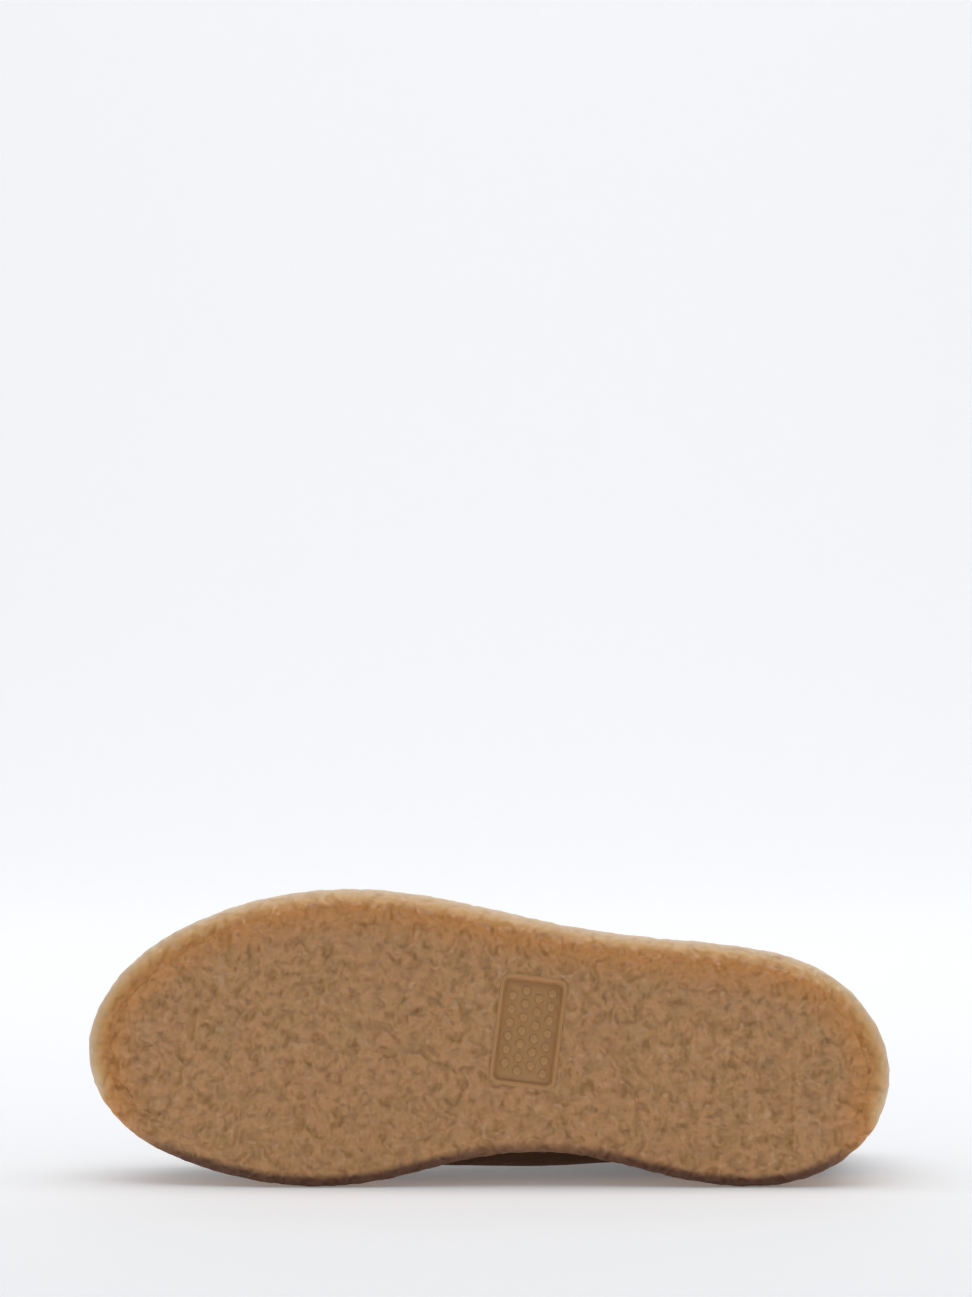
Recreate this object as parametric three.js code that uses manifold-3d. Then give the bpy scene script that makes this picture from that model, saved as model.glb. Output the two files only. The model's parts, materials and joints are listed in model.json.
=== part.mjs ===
// A left low-cut suede sneaker on a one-piece crepe rubber sole, lying on its inner side.
// Shoe frame, in millimetres: +X to the inner (medial) side, +Y to the toe, +Z up from the tread,
// with the origin under the back of the heel. The finished shoe is laid down at the end.
import * as THREE from "three";
import { mergeVertices } from "three/addons/utils/BufferGeometryUtils.js";
import Module from "manifold-3d";

const wasm = await Module();
wasm.setup();

// Driving dimensions: sole
const soleLength = 276;
const ballWidth = 103;
const heelPlatform = 20; // tread to the bed that the heel of the upper stands on
const ballPlatform = 13;
const rimHeight = 8; // cup rim above the bed
const rimWidth = 6.8;
const rimRound = 1.2;
const wallDraft = 4.2; // the side wall leans in by this much at the rim
const treadRound = 5; // rounded lower edge
const toeSpring = 11;
const heelBevel = 2.5;

// Driving dimensions: recessed patch in the tread
const patchWidth = 20.2;
const patchLength = 35.4;
const patchDepth = 1.1;
const patchCorner = 2.2;
const patchTurn = 7.2; // degrees, across the waist

// Driving dimensions: upper
const wall = 2.4;
const collarPad = 3.6;
const instepHeight = 100;
const toeBoxHeight = 60;
const collarHeight = 98; // top of the heel above the tread
const collarSlant = 4; // the outer ankle edge is lower than the inner one
const sideRound = 2.3; // how square the last is from side to top
const toeRound = 2.2; // and from the toe tip back, over the same reach
const swellHeight = 15; // where the sides swell most, above the rim
const throatHalfFront = 9;
const throatHalfTop = 15;

// Driving dimensions: pieces on and in the upper
const overlay = 1.3;
const clearance = 0.3;
const stayEdge = 1.6;
const tongueThick = 4.5;
const tongueHalfFront = 17;
const tongueHalfTop = 21;
const tongueRound = 9;
const tongueGap = 0.6;
const insoleThick = 4.5;
const eyeletRows = 6;
const eyeletInset = 9;
const eyeletFlange = 4;
const eyeletFlangeThick = 0.8;
const eyeletBarrel = 2.4;
const eyeletBore = 1.8;
const laceWidth = 7;
const laceThick = 1.4;
const laceLip = 0.9; // a lace bar starts to sink at this share of the throat's half width
const laceDip = 0.7; // and is down after this further share
const laceSink = 1;

// Round the sole from the toe tip by the inner side, the heel and the outer side.
// along and across are shares of the sole's length and ball width; swell is how far, in shares
// of the ball width, the upper stands out over its foot line.
const outline = [
  { along: 1.0, across: -0.03, swell: 0.015 },
  { along: 0.962, across: 0.203, swell: 0.015 },
  { along: 0.872, across: 0.346, swell: 0.015 },
  { along: 0.76, across: 0.418, swell: 0.02 },
  { along: 0.64, across: 0.41, swell: 0.035 },
  { along: 0.52, across: 0.334, swell: 0.085 },
  { along: 0.4, across: 0.317, swell: 0.09 },
  { along: 0.285, across: 0.384, swell: 0.03 },
  { along: 0.18, across: 0.423, swell: 0.002 },
  { along: 0.082, across: 0.37, swell: 0.01 },
  { along: 0.018, across: 0.22, swell: 0.025 },
  { along: 0.0, across: 0.035, swell: 0.03 },
  { along: 0.022, across: -0.14, swell: 0.025 },
  { along: 0.088, across: -0.3, swell: 0.02 },
  { along: 0.185, across: -0.374, swell: 0.02 },
  { along: 0.29, across: -0.402, swell: 0.03 },
  { along: 0.4, across: -0.442, swell: 0.035 },
  { along: 0.51, across: -0.506, swell: 0.03 },
  { along: 0.62, across: -0.556, swell: 0.02 },
  { along: 0.73, across: -0.554, swell: 0.02 },
  { along: 0.835, across: -0.487, swell: 0.015 },
  { along: 0.925, across: -0.363, swell: 0.015 },
  { along: 0.982, across: -0.2, swell: 0.015 },
];
const heelRow = 11;

// The ridge of the last, from behind the heel to past the toe. Its height is a sum of shares of
// the instep and toe box heights, and across is where it runs, in shares of the ball width.
const ridge = [
  { along: -0.05, instep: 1.76, toe: 0, across: 0.025 },
  { along: 0.13, instep: 1.66, toe: 0, across: 0.02 },
  { along: 0.25, instep: 1.46, toe: 0, across: -0.005 },
  { along: 0.34, instep: 1.24, toe: 0, across: -0.03 },
  { along: 0.42, instep: 1.02, toe: 0, across: -0.045 },
  { along: 0.5, instep: 0.8, toe: 0.12, across: -0.056 },
  { along: 0.58, instep: 0.56, toe: 0.36, across: -0.063 },
  { along: 0.66, instep: 0.34, toe: 0.62, across: -0.066 },
  { along: 0.75, instep: 0.15, toe: 0.88, across: -0.064 },
  { along: 0.85, instep: 0.04, toe: 1.0, across: -0.055 },
  { along: 0.95, instep: 0, toe: 1.0, across: -0.042 },
  { along: 1.05, instep: 0, toe: 0.92, across: -0.03 },
];

// The collar line seen from the side, in shares of the collar height.
const collar = [
  { along: -0.02, height: 1.0 },
  { along: 0.025, height: 0.995 },
  { along: 0.065, height: 0.955 },
  { along: 0.12, height: 0.88 },
  { along: 0.18, height: 0.83 },
  { along: 0.24, height: 0.815 },
  { along: 0.3, height: 0.85 },
  { along: 0.355, height: 0.94 },
  { along: 0.4, height: 1.07 },
  { along: 0.44, height: 1.25 },
];

// The lower edge of the facing seen from the side. Its height is a share of the way from the
// platform up to the ridge.
const facing = [
  { along: 0.3, rise: 0.62 },
  { along: 0.36, rise: 0.66 },
  { along: 0.43, rise: 0.7 },
  { along: 0.51, rise: 0.73 },
  { along: 0.59, rise: 0.76 },
  { along: 0.655, rise: 0.83 },
  { along: 0.69, rise: 0.95 },
  { along: 0.7, rise: 1.1 },
];

// Places along the sole, as shares of its length.
const springFrom = 0.7;
const bevelFrom = 0.1;
const platformHeelEnd = 0.28;
const platformBallStart = 0.64;
const spineFront = 0.63;
const spineBack = 0.13;
const spinePace = 0.9; // how much the rays bunch at toe and heel
const throatEnd = 0.66;
const tongueFront = 0.71;
const tongueTop = 0.37;
const eyeletFirst = 0.62;
const eyeletLast = 0.425;
const counterFront = 0.14;
const patchAlong = 0.45;
const patchAcross = -0.086;

// Heights of the heel counter, as shares of the collar height.
const counterTop = 0.86;
const counterLow = 0.5;

// Levels of the upper's wall, as shares of its way from the cup rim up to the opening.
const levels = [0, 0.07, 0.15, 0.24, 0.35, 0.48, 0.62, 0.76, 0.89, 1];

// Places round the upper, as shares of the way from toe (0) to heel (1) on either side.
const padFrom = 0.6;
const padFull = 0.74;

// Fineness of the faceted solids
const steps = 76;
const rayProbes = 40;
const holeSides = 8;

// A curve through table rows with even slopes at each row; period closes it into a loop.
function spline(xs, ys, period = 0) {
  const n = xs.length;
  const spans = period ? n : n - 1;
  const gap = (i) => (i === n - 1 ? xs[0] + period : xs[i + 1]) - xs[i];
  const pitch = (i) => (ys[(i + 1) % n] - ys[i]) / gap(i);
  const slopes = ys.map(() => 0);
  for (let sweep = 0; sweep < 60; sweep++) {
    for (let i = 0; i < n; i++) {
      const before = (i + n - 1) % n;
      const after = (i + 1) % n;
      if (!period && i === 0) slopes[0] = (3 * pitch(0) - slopes[1]) / 2;
      else if (!period && i === n - 1) slopes[i] = (3 * pitch(before) - slopes[before]) / 2;
      else {
        const a = 1 / gap(before);
        const b = 1 / gap(i);
        const pull = 3 * (pitch(before) * a + pitch(i) * b);
        slopes[i] = (pull - slopes[before] * a - slopes[after] * b) / (2 * (a + b));
      }
    }
  }
  return (at) => {
    let x = at;
    if (period) x = xs[0] + ((((at - xs[0]) % period) + period) % period);
    else if (x <= xs[0]) return ys[0] + (x - xs[0]) * slopes[0];
    else if (x >= xs[n - 1]) return ys[n - 1] + (x - xs[n - 1]) * slopes[n - 1];
    let i = 0;
    while (i < spans - 1 && x >= xs[i + 1]) i++;
    const h = gap(i);
    const u = (x - xs[i]) / h;
    const next = (i + 1) % n;
    const rise = ys[next] - ys[i];
    const bend = (slopes[i] * (1 - u) - slopes[next] * u) * h;
    return ys[i] + rise * u * u * (3 - 2 * u) + bend * u * (1 - u);
  };
}

const column = (table, name) => table.map((row) => row[name]);
const smooth = (u) => {
  const v = Math.min(1, Math.max(0, u));
  return v * v * (3 - 2 * v);
};

// The outline's knots are spaced by the distance from row to row.
const knots = [0];
outline.forEach((row, i) => {
  const next = outline[(i + 1) % outline.length];
  const dy = (next.along - row.along) * soleLength;
  const dx = (next.across - row.across) * ballWidth;
  knots.push(knots[i] + Math.hypot(dx, dy));
});
const girth = knots.pop();
const outlineX = spline(knots, outline.map((row) => row.across * ballWidth), girth);
const outlineY = spline(knots, outline.map((row) => row.along * soleLength), girth);
const swellOf = spline(knots, outline.map((row) => row.swell * ballWidth), girth);
const innerSide = knots[heelRow];
const ridgeInstep = spline(column(ridge, "along"), column(ridge, "instep"));
const ridgeToe = spline(column(ridge, "along"), column(ridge, "toe"));
const ridgeAcross = spline(column(ridge, "along"), column(ridge, "across"));
const collarLine = spline(column(collar, "along"), column(collar, "height"));

// way runs from 0 at the toe to 1 at the heel by the inner side, and from 0 to -1 by the outer.
const around = (way) => (way >= 0 ? way * innerSide : girth + way * (girth - innerSide));
const loopWay = (i, steps) => (2 * i <= steps ? (2 * i) / steps : (2 * i) / steps - 2);

// A point of the sole's outline, moved out by some millimetres, with its outward direction.
function edgePoint(way, out = 0) {
  const s = around(way);
  const step = 0.5;
  const dx = outlineX(s + step) - outlineX(s - step);
  const dy = outlineY(s + step) - outlineY(s - step);
  const size = Math.hypot(dx, dy);
  const normal = new THREE.Vector2(-dy / size, dx / size);
  const x = outlineX(s) + normal.x * out;
  const y = outlineY(s) + normal.y * out;
  return { x, y, normal, along: outlineY(s) / soleLength };
}

// Heights above the plane that the shoe stands on, by share of the length.
const tread = (along) =>
  toeSpring * Math.max(0, (along - springFrom) / (1 - springFrom)) ** 2 +
  heelBevel * Math.max(0, (bevelFrom - along) / bevelFrom) ** 2;
const springAt = (along) => toeSpring * Math.max(0, (along - springFrom) / (1 - springFrom)) ** 2;
const platform = (along) => {
  const fall = smooth((along - platformHeelEnd) / (platformBallStart - platformHeelEnd));
  return heelPlatform + (ballPlatform - heelPlatform) * fall + springAt(along);
};
const ridgeHeight = (along) =>
  ridgeInstep(along) * instepHeight + ridgeToe(along) * toeBoxHeight;

// The line inside the last that its rays run to, by the same way on both sides.
function spinePoint(way) {
  const f = Math.abs(way);
  const share = f - (spinePace * Math.sin(2 * Math.PI * f)) / (2 * Math.PI);
  const along = spineFront + (spineBack - spineFront) * share;
  return { x: ridgeAcross(along) * ballWidth, y: along * soleLength };
}

const footInset = rimWidth + clearance;
const feet = new Map();
function footOfRay(way) {
  if (!feet.has(way)) {
    const edge = edgePoint(way, -footInset);
    const spine = spinePoint(way);
    const reach = Math.hypot(edge.x - spine.x, edge.y - spine.y);
    feet.set(way, {
      ...edge,
      z: platform(edge.along) + clearance,
      spine,
      power: Math.max(sideRound, (toeRound * reach) / (ballWidth / 2)),
      swell: swellOf(around(way)),
    });
  }
  return feet.get(way);
}

// The outside of the upper: turn is 0 at the foot line and a quarter turn over the ridge.
function lastPoint(way, turn) {
  const foot = footOfRay(way);
  const share = Math.cos(turn);
  const x = foot.spine.x + (foot.x - foot.spine.x) * share;
  const y = foot.spine.y + (foot.y - foot.spine.y) * share;
  const top = ridgeHeight(y / soleLength);
  const rise = (top - foot.z) * Math.sqrt(Math.max(0, 1 - share ** foot.power));
  const over = Math.max(0, rise - rimHeight) / swellHeight;
  const out = foot.swell * (over * Math.exp(1 - over)) ** 2;
  return new THREE.Vector3(x + foot.normal.x * out, y + foot.normal.y * out, foot.z + rise);
}

// A point off the outside of the upper by lift millimetres, inwards where lift is negative.
function skin(way, turn, lift = 0) {
  const at = lastPoint(way, turn);
  if (lift === 0) return at;
  return at.addScaledVector(skinNormal(way, turn), lift);
}

function skinNormal(way, turn) {
  const dWay = 0.002;
  const dTurn = 0.01;
  const t = Math.min(Math.max(turn, dTurn), Math.PI / 2 - dTurn);
  const wayOf = (w) => (w > 1 ? w - 2 : w < -1 ? w + 2 : w);
  const a = lastPoint(wayOf(way + dWay), t).sub(lastPoint(wayOf(way - dWay), t));
  const b = lastPoint(way, t + dTurn).sub(lastPoint(way, t - dTurn));
  return b.cross(a).normalize();
}

// The place on the upper over a spot in plan: along the sole, and off the ridge to one side.
function placeOver(along, off, side) {
  const x = ridgeAcross(along) * ballWidth + side * off;
  const y = along * soleLength;
  let low = 0;
  let high = 1;
  for (let k = 0; k < 30; k++) {
    const middle = (low + high) / 2;
    const { x: fx, y: fy, spine } = footOfRay(side * middle);
    const turn = (fx - spine.x) * (y - spine.y) - (fy - spine.y) * (x - spine.x);
    if (side * turn < 0) low = middle;
    else high = middle;
  }
  const way = (side * (low + high)) / 2;
  const foot = footOfRay(way);
  const reach = Math.hypot(foot.x - foot.spine.x, foot.y - foot.spine.y);
  const share = Math.hypot(x - foot.spine.x, y - foot.spine.y) / reach;
  return { way, turn: Math.acos(Math.min(1, share)) };
}

// Half the width of the throat at a place along the sole
function throatHalf(along) {
  const share = (throatEnd - along) / (throatEnd - collar.at(-1).along);
  return throatHalfFront + (throatHalfTop - throatHalfFront) * THREE.MathUtils.clamp(share, 0, 1);
}

// Whether a point of the last lies in the foot opening or the throat.
function isOpen(p) {
  const along = p.y / soleLength;
  const off = p.x - ridgeAcross(along) * ballWidth;
  const slant = (collarSlant / 2) * (1 - THREE.MathUtils.clamp(off / 20, -1, 1));
  if (along < collar.at(-1).along && p.z > collarLine(along) * collarHeight - slant) return true;
  const front = throatEnd * soleLength;
  if (p.y >= front || along < collar.at(-1).along - 0.1) return false;
  const nose = Math.max(0, throatHalfFront - (front - p.y));
  return Math.abs(off) < throatHalf(along) * Math.sqrt(1 - (nose / throatHalfFront) ** 2);
}

// Straight steps through two rising lists.
function lookUp(from, to, at) {
  const value = Math.min(Math.max(at, from[0]), from.at(-1));
  let i = 1;
  while (i < from.length - 1 && from[i] < value) i++;
  return to[i - 1] + ((to[i] - to[i - 1]) * (value - from[i - 1])) / (from[i] - from[i - 1]);
}

// One ray of the last, from its foot to the opening, with places by length.
const rays = new Map();
function rayOf(way) {
  if (rays.has(way)) return rays.get(way);
  const probe = Math.PI / 2 / rayProbes;
  let end = 1;
  while (end < rayProbes && !isOpen(lastPoint(way, end * probe))) end++;
  let low = (end - 1) * probe;
  let high = end * probe;
  for (let k = 0; k < 24; k++) {
    const middle = (low + high) / 2;
    if (isOpen(lastPoint(way, middle))) high = middle;
    else low = middle;
  }
  const turns = [];
  const lengths = [];
  const place = (turn, before) => {
    const d = before ? lastPoint(way, turn).distanceTo(lastPoint(way, turns.at(-1))) : 0;
    lengths.push(before ? lengths.at(-1) + d : 0);
    turns.push(turn);
  };
  for (let k = 0; k <= rayProbes; k++) place((low * k) / rayProbes, k > 0);
  for (let k = 1; k <= rayProbes; k++) place(low + ((Math.PI / 2 - low) * k) / rayProbes, true);
  const ray = {
    open: lengths[rayProbes],
    full: lengths.at(-1),
    turnAt: (length) => lookUp(lengths, turns, length),
    lengthAt: (turn) => lookUp(turns, lengths, turn),
  };
  rays.set(way, ray);
  return ray;
}

// The turn at which the upper has risen by some millimetres over its foot line.
function turnAtRise(way, rise) {
  const foot = footOfRay(way);
  let low = 0;
  let high = Math.PI / 2;
  for (let k = 0; k < 24; k++) {
    const middle = (low + high) / 2;
    if (lastPoint(way, middle).z - foot.z < rise) low = middle;
    else high = middle;
  }
  return high;
}

// The length up a ray at which it clears the cup rim.
const rimClear = (way) => rayOf(way).lengthAt(turnAtRise(way, rimHeight));

// Closed meshes. Faces are turned outwards at the end, by the sign of the volume.
function closedMesh(points, faces) {
  const positions = new Float32Array(points.flatMap((p) => [p.x, p.y, p.z]));
  let volume = 0;
  for (const [a, b, c] of faces) {
    volume += points[a].dot(new THREE.Vector3().crossVectors(points[b], points[c]));
  }
  const turned = volume < 0 ? faces.map(([a, b, c]) => [a, c, b]) : faces;
  const geometry = new THREE.BufferGeometry();
  geometry.setAttribute("position", new THREE.BufferAttribute(positions, 3));
  geometry.setIndex(turned.flat());
  return mergeVertices(geometry, 1e-4);
}

const quad = (a, b, c, d) => [[a, b, c], [a, c, d]];

// A solid through closed rings of equal count, capped by strips from side to side.
function loft(rings) {
  const n = rings[0].length;
  const points = rings.flat();
  const faces = [];
  const top = (rings.length - 1) * n;
  for (let k = 0; k < rings.length - 1; k++) {
    for (let i = 0; i < n; i++) {
      const j = (i + 1) % n;
      faces.push(...quad(k * n + i, (k + 1) * n + i, (k + 1) * n + j, k * n + j));
    }
  }
  for (let i = 0; i < n / 2; i++) {
    const strip = [i, i + 1, n - i - 1, (n - i) % n];
    for (const [a, b, c] of quad(...strip)) {
      if (a === b || b === c || a === c) continue;
      faces.push([a, b, c], [top + a, top + c, top + b]);
    }
  }
  return closedMesh(points, faces);
}

// A plate between two grids of points. A ring closes on itself, and a folded plate's last row
// lies on itself from side to side, so it has no edge there.
function plate(rows, cols, over, under, { ring = false, folded = false } = {}) {
  const points = [];
  const lines = ring ? rows : rows + 1;
  for (const side of [over, under]) {
    for (let i = 0; i < lines; i++) for (let j = 0; j <= cols; j++) points.push(side(i, j));
  }
  const at = (side, i, j) => (side * lines + (i % lines)) * (cols + 1) + j;
  const faces = [];
  for (let i = 0; i < rows; i++) {
    for (let j = 0; j < cols; j++) {
      faces.push(...quad(at(0, i, j), at(0, i, j + 1), at(0, i + 1, j + 1), at(0, i + 1, j)));
      faces.push(...quad(at(1, i, j), at(1, i + 1, j), at(1, i + 1, j + 1), at(1, i, j + 1)));
    }
    faces.push(...quad(at(0, i, 0), at(0, i + 1, 0), at(1, i + 1, 0), at(1, i, 0)));
    faces.push(...quad(at(0, i, cols), at(1, i, cols), at(1, i + 1, cols), at(0, i + 1, cols)));
  }
  for (let j = 0; j < cols && !ring; j++) {
    faces.push(...quad(at(0, 0, j), at(1, 0, j), at(1, 0, j + 1), at(0, 0, j + 1)));
    if (folded) continue;
    faces.push(...quad(at(0, rows, j), at(0, rows, j + 1), at(1, rows, j + 1), at(1, rows, j)));
  }
  return closedMesh(points, faces);
}

// Booleans
function toSolid(geometry) {
  const bare = new THREE.BufferGeometry();
  bare.setAttribute("position", geometry.getAttribute("position"));
  bare.setIndex(geometry.index);
  const merged = mergeVertices(bare, 1e-4);
  return new wasm.Manifold(
    new wasm.Mesh({
      numProp: 3,
      vertProperties: new Float32Array(merged.getAttribute("position").array),
      triVerts: new Uint32Array(merged.index.array),
    }),
  );
}

function fromSolid(solid) {
  const mesh = solid.getMesh();
  const geometry = new THREE.BufferGeometry();
  geometry.setAttribute("position", new THREE.BufferAttribute(mesh.vertProperties, 3));
  geometry.setIndex(new THREE.BufferAttribute(mesh.triVerts, 1));
  return geometry;
}

function cutAway(geometry, cutters) {
  return fromSolid(cutters.reduce((solid, c) => solid.subtract(toSolid(c)), toSolid(geometry)));
}

const cutTo = (geometry, block) => fromSolid(toSolid(geometry).intersect(toSolid(block)));

// Sole
function soleGeometry() {
  const rimTop = (along) => platform(along) + rimHeight;
  const heights = [];
  for (const degrees of [0, 30, 60, 90]) {
    const a = THREE.MathUtils.degToRad(degrees);
    const out = treadRound * (Math.sin(a) - 1);
    heights.push((e) => [out, tread(e) + treadRound * (1 - Math.cos(a))]);
  }
  heights.push((e) => [-wallDraft * 0.4, (tread(e) + treadRound + rimTop(e)) / 2]);
  heights.push((e) => [-wallDraft, rimTop(e) - rimRound]);
  heights.push((e) => [-wallDraft - rimRound, rimTop(e)]);
  heights.push((e) => [-rimWidth, rimTop(e)]);
  heights.push((e) => [-rimWidth, platform(e)]);
  const rings = heights.map((level) =>
    Array.from({ length: steps }, (_, i) => {
      const way = loopWay(i, steps);
      const [out, z] = level(edgePoint(way).along);
      const edge = edgePoint(way, out);
      return new THREE.Vector3(edge.x, edge.y, z);
    }),
  );
  return cutAway(loft(rings), [patchCutter()]);
}

// A rounded block that sinks the patch into the tread.
function patchCutter() {
  const w = patchWidth / 2;
  const h = patchLength / 2;
  const r = patchCorner;
  const shape = new THREE.Shape();
  shape.moveTo(-w + r, -h);
  shape.lineTo(w - r, -h);
  shape.absarc(w - r, -h + r, r, -Math.PI / 2, 0);
  shape.lineTo(w, h - r);
  shape.absarc(w - r, h - r, r, 0, Math.PI / 2);
  shape.lineTo(-w + r, h);
  shape.absarc(-w + r, h - r, r, Math.PI / 2, Math.PI);
  shape.lineTo(-w, -h + r);
  shape.absarc(-w + r, -h + r, r, Math.PI, 1.5 * Math.PI);
  const depth = 2 * patchDepth;
  const block = new THREE.ExtrudeGeometry(shape, { depth, bevelEnabled: false, curveSegments: 3 });
  block.translate(0, 0, -patchDepth);
  block.rotateZ(THREE.MathUtils.degToRad(90 + patchTurn));
  block.translate(patchAcross * ballWidth, patchAlong * soleLength, 0);
  return block;
}

// Insole, inside the foot of the upper
function insoleGeometry() {
  const crown = 1;
  const rings = [
    [clearance, 0],
    [clearance + insoleThick - crown, 0],
    [clearance + insoleThick, crown],
  ].map(([up, inset]) =>
    Array.from({ length: steps }, (_, i) => {
      const way = loopWay(i, steps);
      const { normal, along } = footOfRay(way);
      const rim = skin(way, turnAtRise(way, rimHeight), -wall);
      const edge = skin(way, 0, -wall).lerp(rim, insoleThick / rimHeight);
      const gap = clearance + inset;
      const z = platform(along) + up;
      return new THREE.Vector3(edge.x - normal.x * gap, edge.y - normal.y * gap, z);
    }),
  );
  return loft(rings);
}

// The wall is thicker round the ankle, near the collar edge.
function wallAt(way, share) {
  const back = smooth((Math.abs(way) - padFrom) / (padFull - padFrom));
  return wall + collarPad * back * smooth((share - 0.4) / 0.35);
}

// The length up a ray of each level of the wall, stopping short of the opening by trim.
function levelLength(way, j, trim = 0) {
  const from = rimClear(way);
  return from + (rayOf(way).open - trim - from) * levels[j];
}

function upperGeometry() {
  const grid = (depth) => (i, j) => {
    const way = loopWay(i, steps);
    const up = j === 0 ? 0 : rayOf(way).turnAt(levelLength(way, j - 1));
    return skin(way, up, depth ? -wallAt(way, j === 0 ? 0 : levels[j - 1]) : 0);
  };
  return plate(steps, levels.length, grid(false), grid(true), { ring: true });
}

// A second skin over the whole upper, from which the overlays are cut.
function overlayShell() {
  const grid = (lift) => (i, j) => {
    const way = loopWay(i, steps);
    const hem = j === 0 ? 2 * clearance : 0;
    return skin(way, rayOf(way).turnAt(levelLength(way, j, stayEdge) + hem), lift);
  };
  const top = levels.length - 1;
  const low = grid(clearance);
  return plate(steps, top, grid(clearance + overlay), low, { ring: true });
}

// A block across the shoe, from a shape drawn in its side view.
function sideBlock(shape) {
  const depth = 2 * ballWidth;
  const block = new THREE.ExtrudeGeometry(shape, { depth, bevelEnabled: false, curveSegments: 6 });
  block.translate(0, 0, -depth / 2);
  const turn = new THREE.Matrix4().makeBasis(
    new THREE.Vector3(0, 1, 0),
    new THREE.Vector3(0, 0, 1),
    new THREE.Vector3(1, 0, 0),
  );
  return block.applyMatrix4(turn);
}

function counterShape() {
  const reach = counterFront * soleLength;
  const top = counterTop * collarHeight;
  const low = counterLow * collarHeight;
  const shape = new THREE.Shape();
  shape.moveTo(-soleLength / 10, 0);
  shape.lineTo(reach, 0);
  shape.lineTo(reach, low * 0.6);
  shape.bezierCurveTo(reach * 0.9, low * 1.35, reach * 0.35, low * 1.3, reach * 0.12, top);
  shape.lineTo(-soleLength / 10, top * 1.04);
  return shape;
}

// The facing lies along both sides of the throat and across its front.
function stayShape() {
  const line = facing.map(({ along, rise }) => {
    const low = platform(along);
    return new THREE.Vector2(along * soleLength, low + (ridgeHeight(along) - low) * rise);
  });
  const roof = 2 * collarHeight;
  const shape = new THREE.Shape();
  shape.moveTo(line[0].x, roof);
  shape.lineTo(line[0].x, line[0].y);
  shape.splineThru(line.slice(1));
  shape.lineTo(line.at(-1).x, roof);
  return shape;
}

// The tongue lies under the upper, over the instep ridge and forward under the vamp.
function tongueGeometry() {
  const rows = 16;
  const half = 5;
  const grid = (lift) => (i, j) => {
    const u = j / half - 1;
    const back = i / rows;
    const wide = tongueHalfFront + (tongueHalfTop - tongueHalfFront) * smooth(back);
    const round = (tongueRound / soleLength) * u ** 4;
    const from = tongueFront - round;
    const along = from + (tongueTop + round - from) * back;
    const { way, turn } = placeOver(along, Math.abs(u) * wide, u < 0 ? -1 : 1);
    return skin(way, turn, lift);
  };
  const top = -(wall + tongueGap);
  return plate(rows, 2 * half, grid(top), grid(top - tongueThick));
}

const overlayFace = clearance + overlay;

// The place of an eyelet, on one side
function eyeletSeat(side, row) {
  const along = eyeletFirst + ((eyeletLast - eyeletFirst) * row) / (eyeletRows - 1);
  const at = (off) => placeOver(along, off, side);
  const edge = at(throatHalf(along));
  const start = skin(edge.way, edge.turn);
  let low = throatHalf(along);
  let high = low + eyeletInset;
  for (let k = 0; k < 20; k++) {
    const middle = (low + high) / 2;
    if (skin(at(middle).way, at(middle).turn).distanceTo(start) < eyeletInset) low = middle;
    else high = middle;
  }
  const { way, turn } = at(high);
  return { way, turn, along, off: high, normal: skinNormal(way, turn) };
}

const upright = new THREE.Vector3(0, 1, 0);

// Places a shape turned about +Y so that it stands on the upper at an eyelet.
function standOn(geometry, seat) {
  const turned = new THREE.Quaternion().setFromUnitVectors(upright, seat.normal);
  geometry.applyQuaternion(turned);
  const foot = skin(seat.way, seat.turn);
  geometry.translate(foot.x, foot.y, foot.z);
  return geometry;
}

function holeCutter(seat) {
  const radius = eyeletBarrel + clearance;
  const through = 3 * (wall + overlayFace);
  return standOn(new THREE.CylinderGeometry(radius, radius, through, holeSides), seat);
}

function eyeletGeometry(seat) {
  const under = overlayFace + clearance;
  const profile = [
    [eyeletBore, -wall],
    [eyeletBarrel, -wall],
    [eyeletBarrel, under],
    [eyeletFlange, under],
    [eyeletFlange - eyeletFlangeThick / 2, under + eyeletFlangeThick],
    [eyeletBore, under + eyeletFlangeThick],
    [eyeletBore, -wall],
  ].map(([r, y]) => new THREE.Vector2(r, y));
  const ring = new THREE.LatheGeometry(profile, holeSides);
  return standOn(ring, seat);
}

// A flat lace bar from one eyelet over the tongue to its partner.
function laceBarGeometry(inner, outer) {
  const ride = overlayFace + 2 * clearance + eyeletFlangeThick;
  const { along } = inner;
  const rows = 16;
  const spot = (u) => {
    const off = u < 0 ? outer.off : inner.off;
    const edge = throatHalf(along) / off;
    const lift = ride - (ride + laceSink) * smooth((edge * laceLip - Math.abs(u)) / (edge * laceDip));
    const { way, turn } = placeOver(along, Math.abs(u) * off, u < 0 ? -1 : 1);
    return skin(way, turn, lift);
  };
  const stops = Array.from({ length: rows + 1 }, (_, i) => spot((2 * i) / rows - 1));
  const path = new THREE.CatmullRomCurve3(stops, false, "centripetal");
  const grid = (lift) => (i, j) => {
    const u = i / rows;
    const cross = path.getTangentAt(u);
    const up = outer.normal.clone().lerp(inner.normal, smooth(u));
    const wide = up.cross(cross).normalize();
    return path
      .getPointAt(u)
      .addScaledVector(cross.cross(wide).normalize(), lift)
      .addScaledVector(wide, laceWidth * (j - 0.5));
  };
  return plate(rows, 1, grid(laceThick), grid(0));
}

// Materials
const crepe = new THREE.MeshStandardMaterial({ color: 0xb08455, roughness: 0.5 });
const suede = new THREE.MeshStandardMaterial({ color: 0x5a4031, roughness: 0.95 });
const suedeTrim = new THREE.MeshStandardMaterial({ color: 0x523a2c, roughness: 0.95 });
const lining = new THREE.MeshStandardMaterial({ color: 0x8a6a4c, roughness: 0.8 });
const cotton = new THREE.MeshStandardMaterial({ color: 0x4a3428, roughness: 0.85 });
const brass = new THREE.MeshStandardMaterial({ color: 0x6a5138, roughness: 0.4, metalness: 1 });

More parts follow.
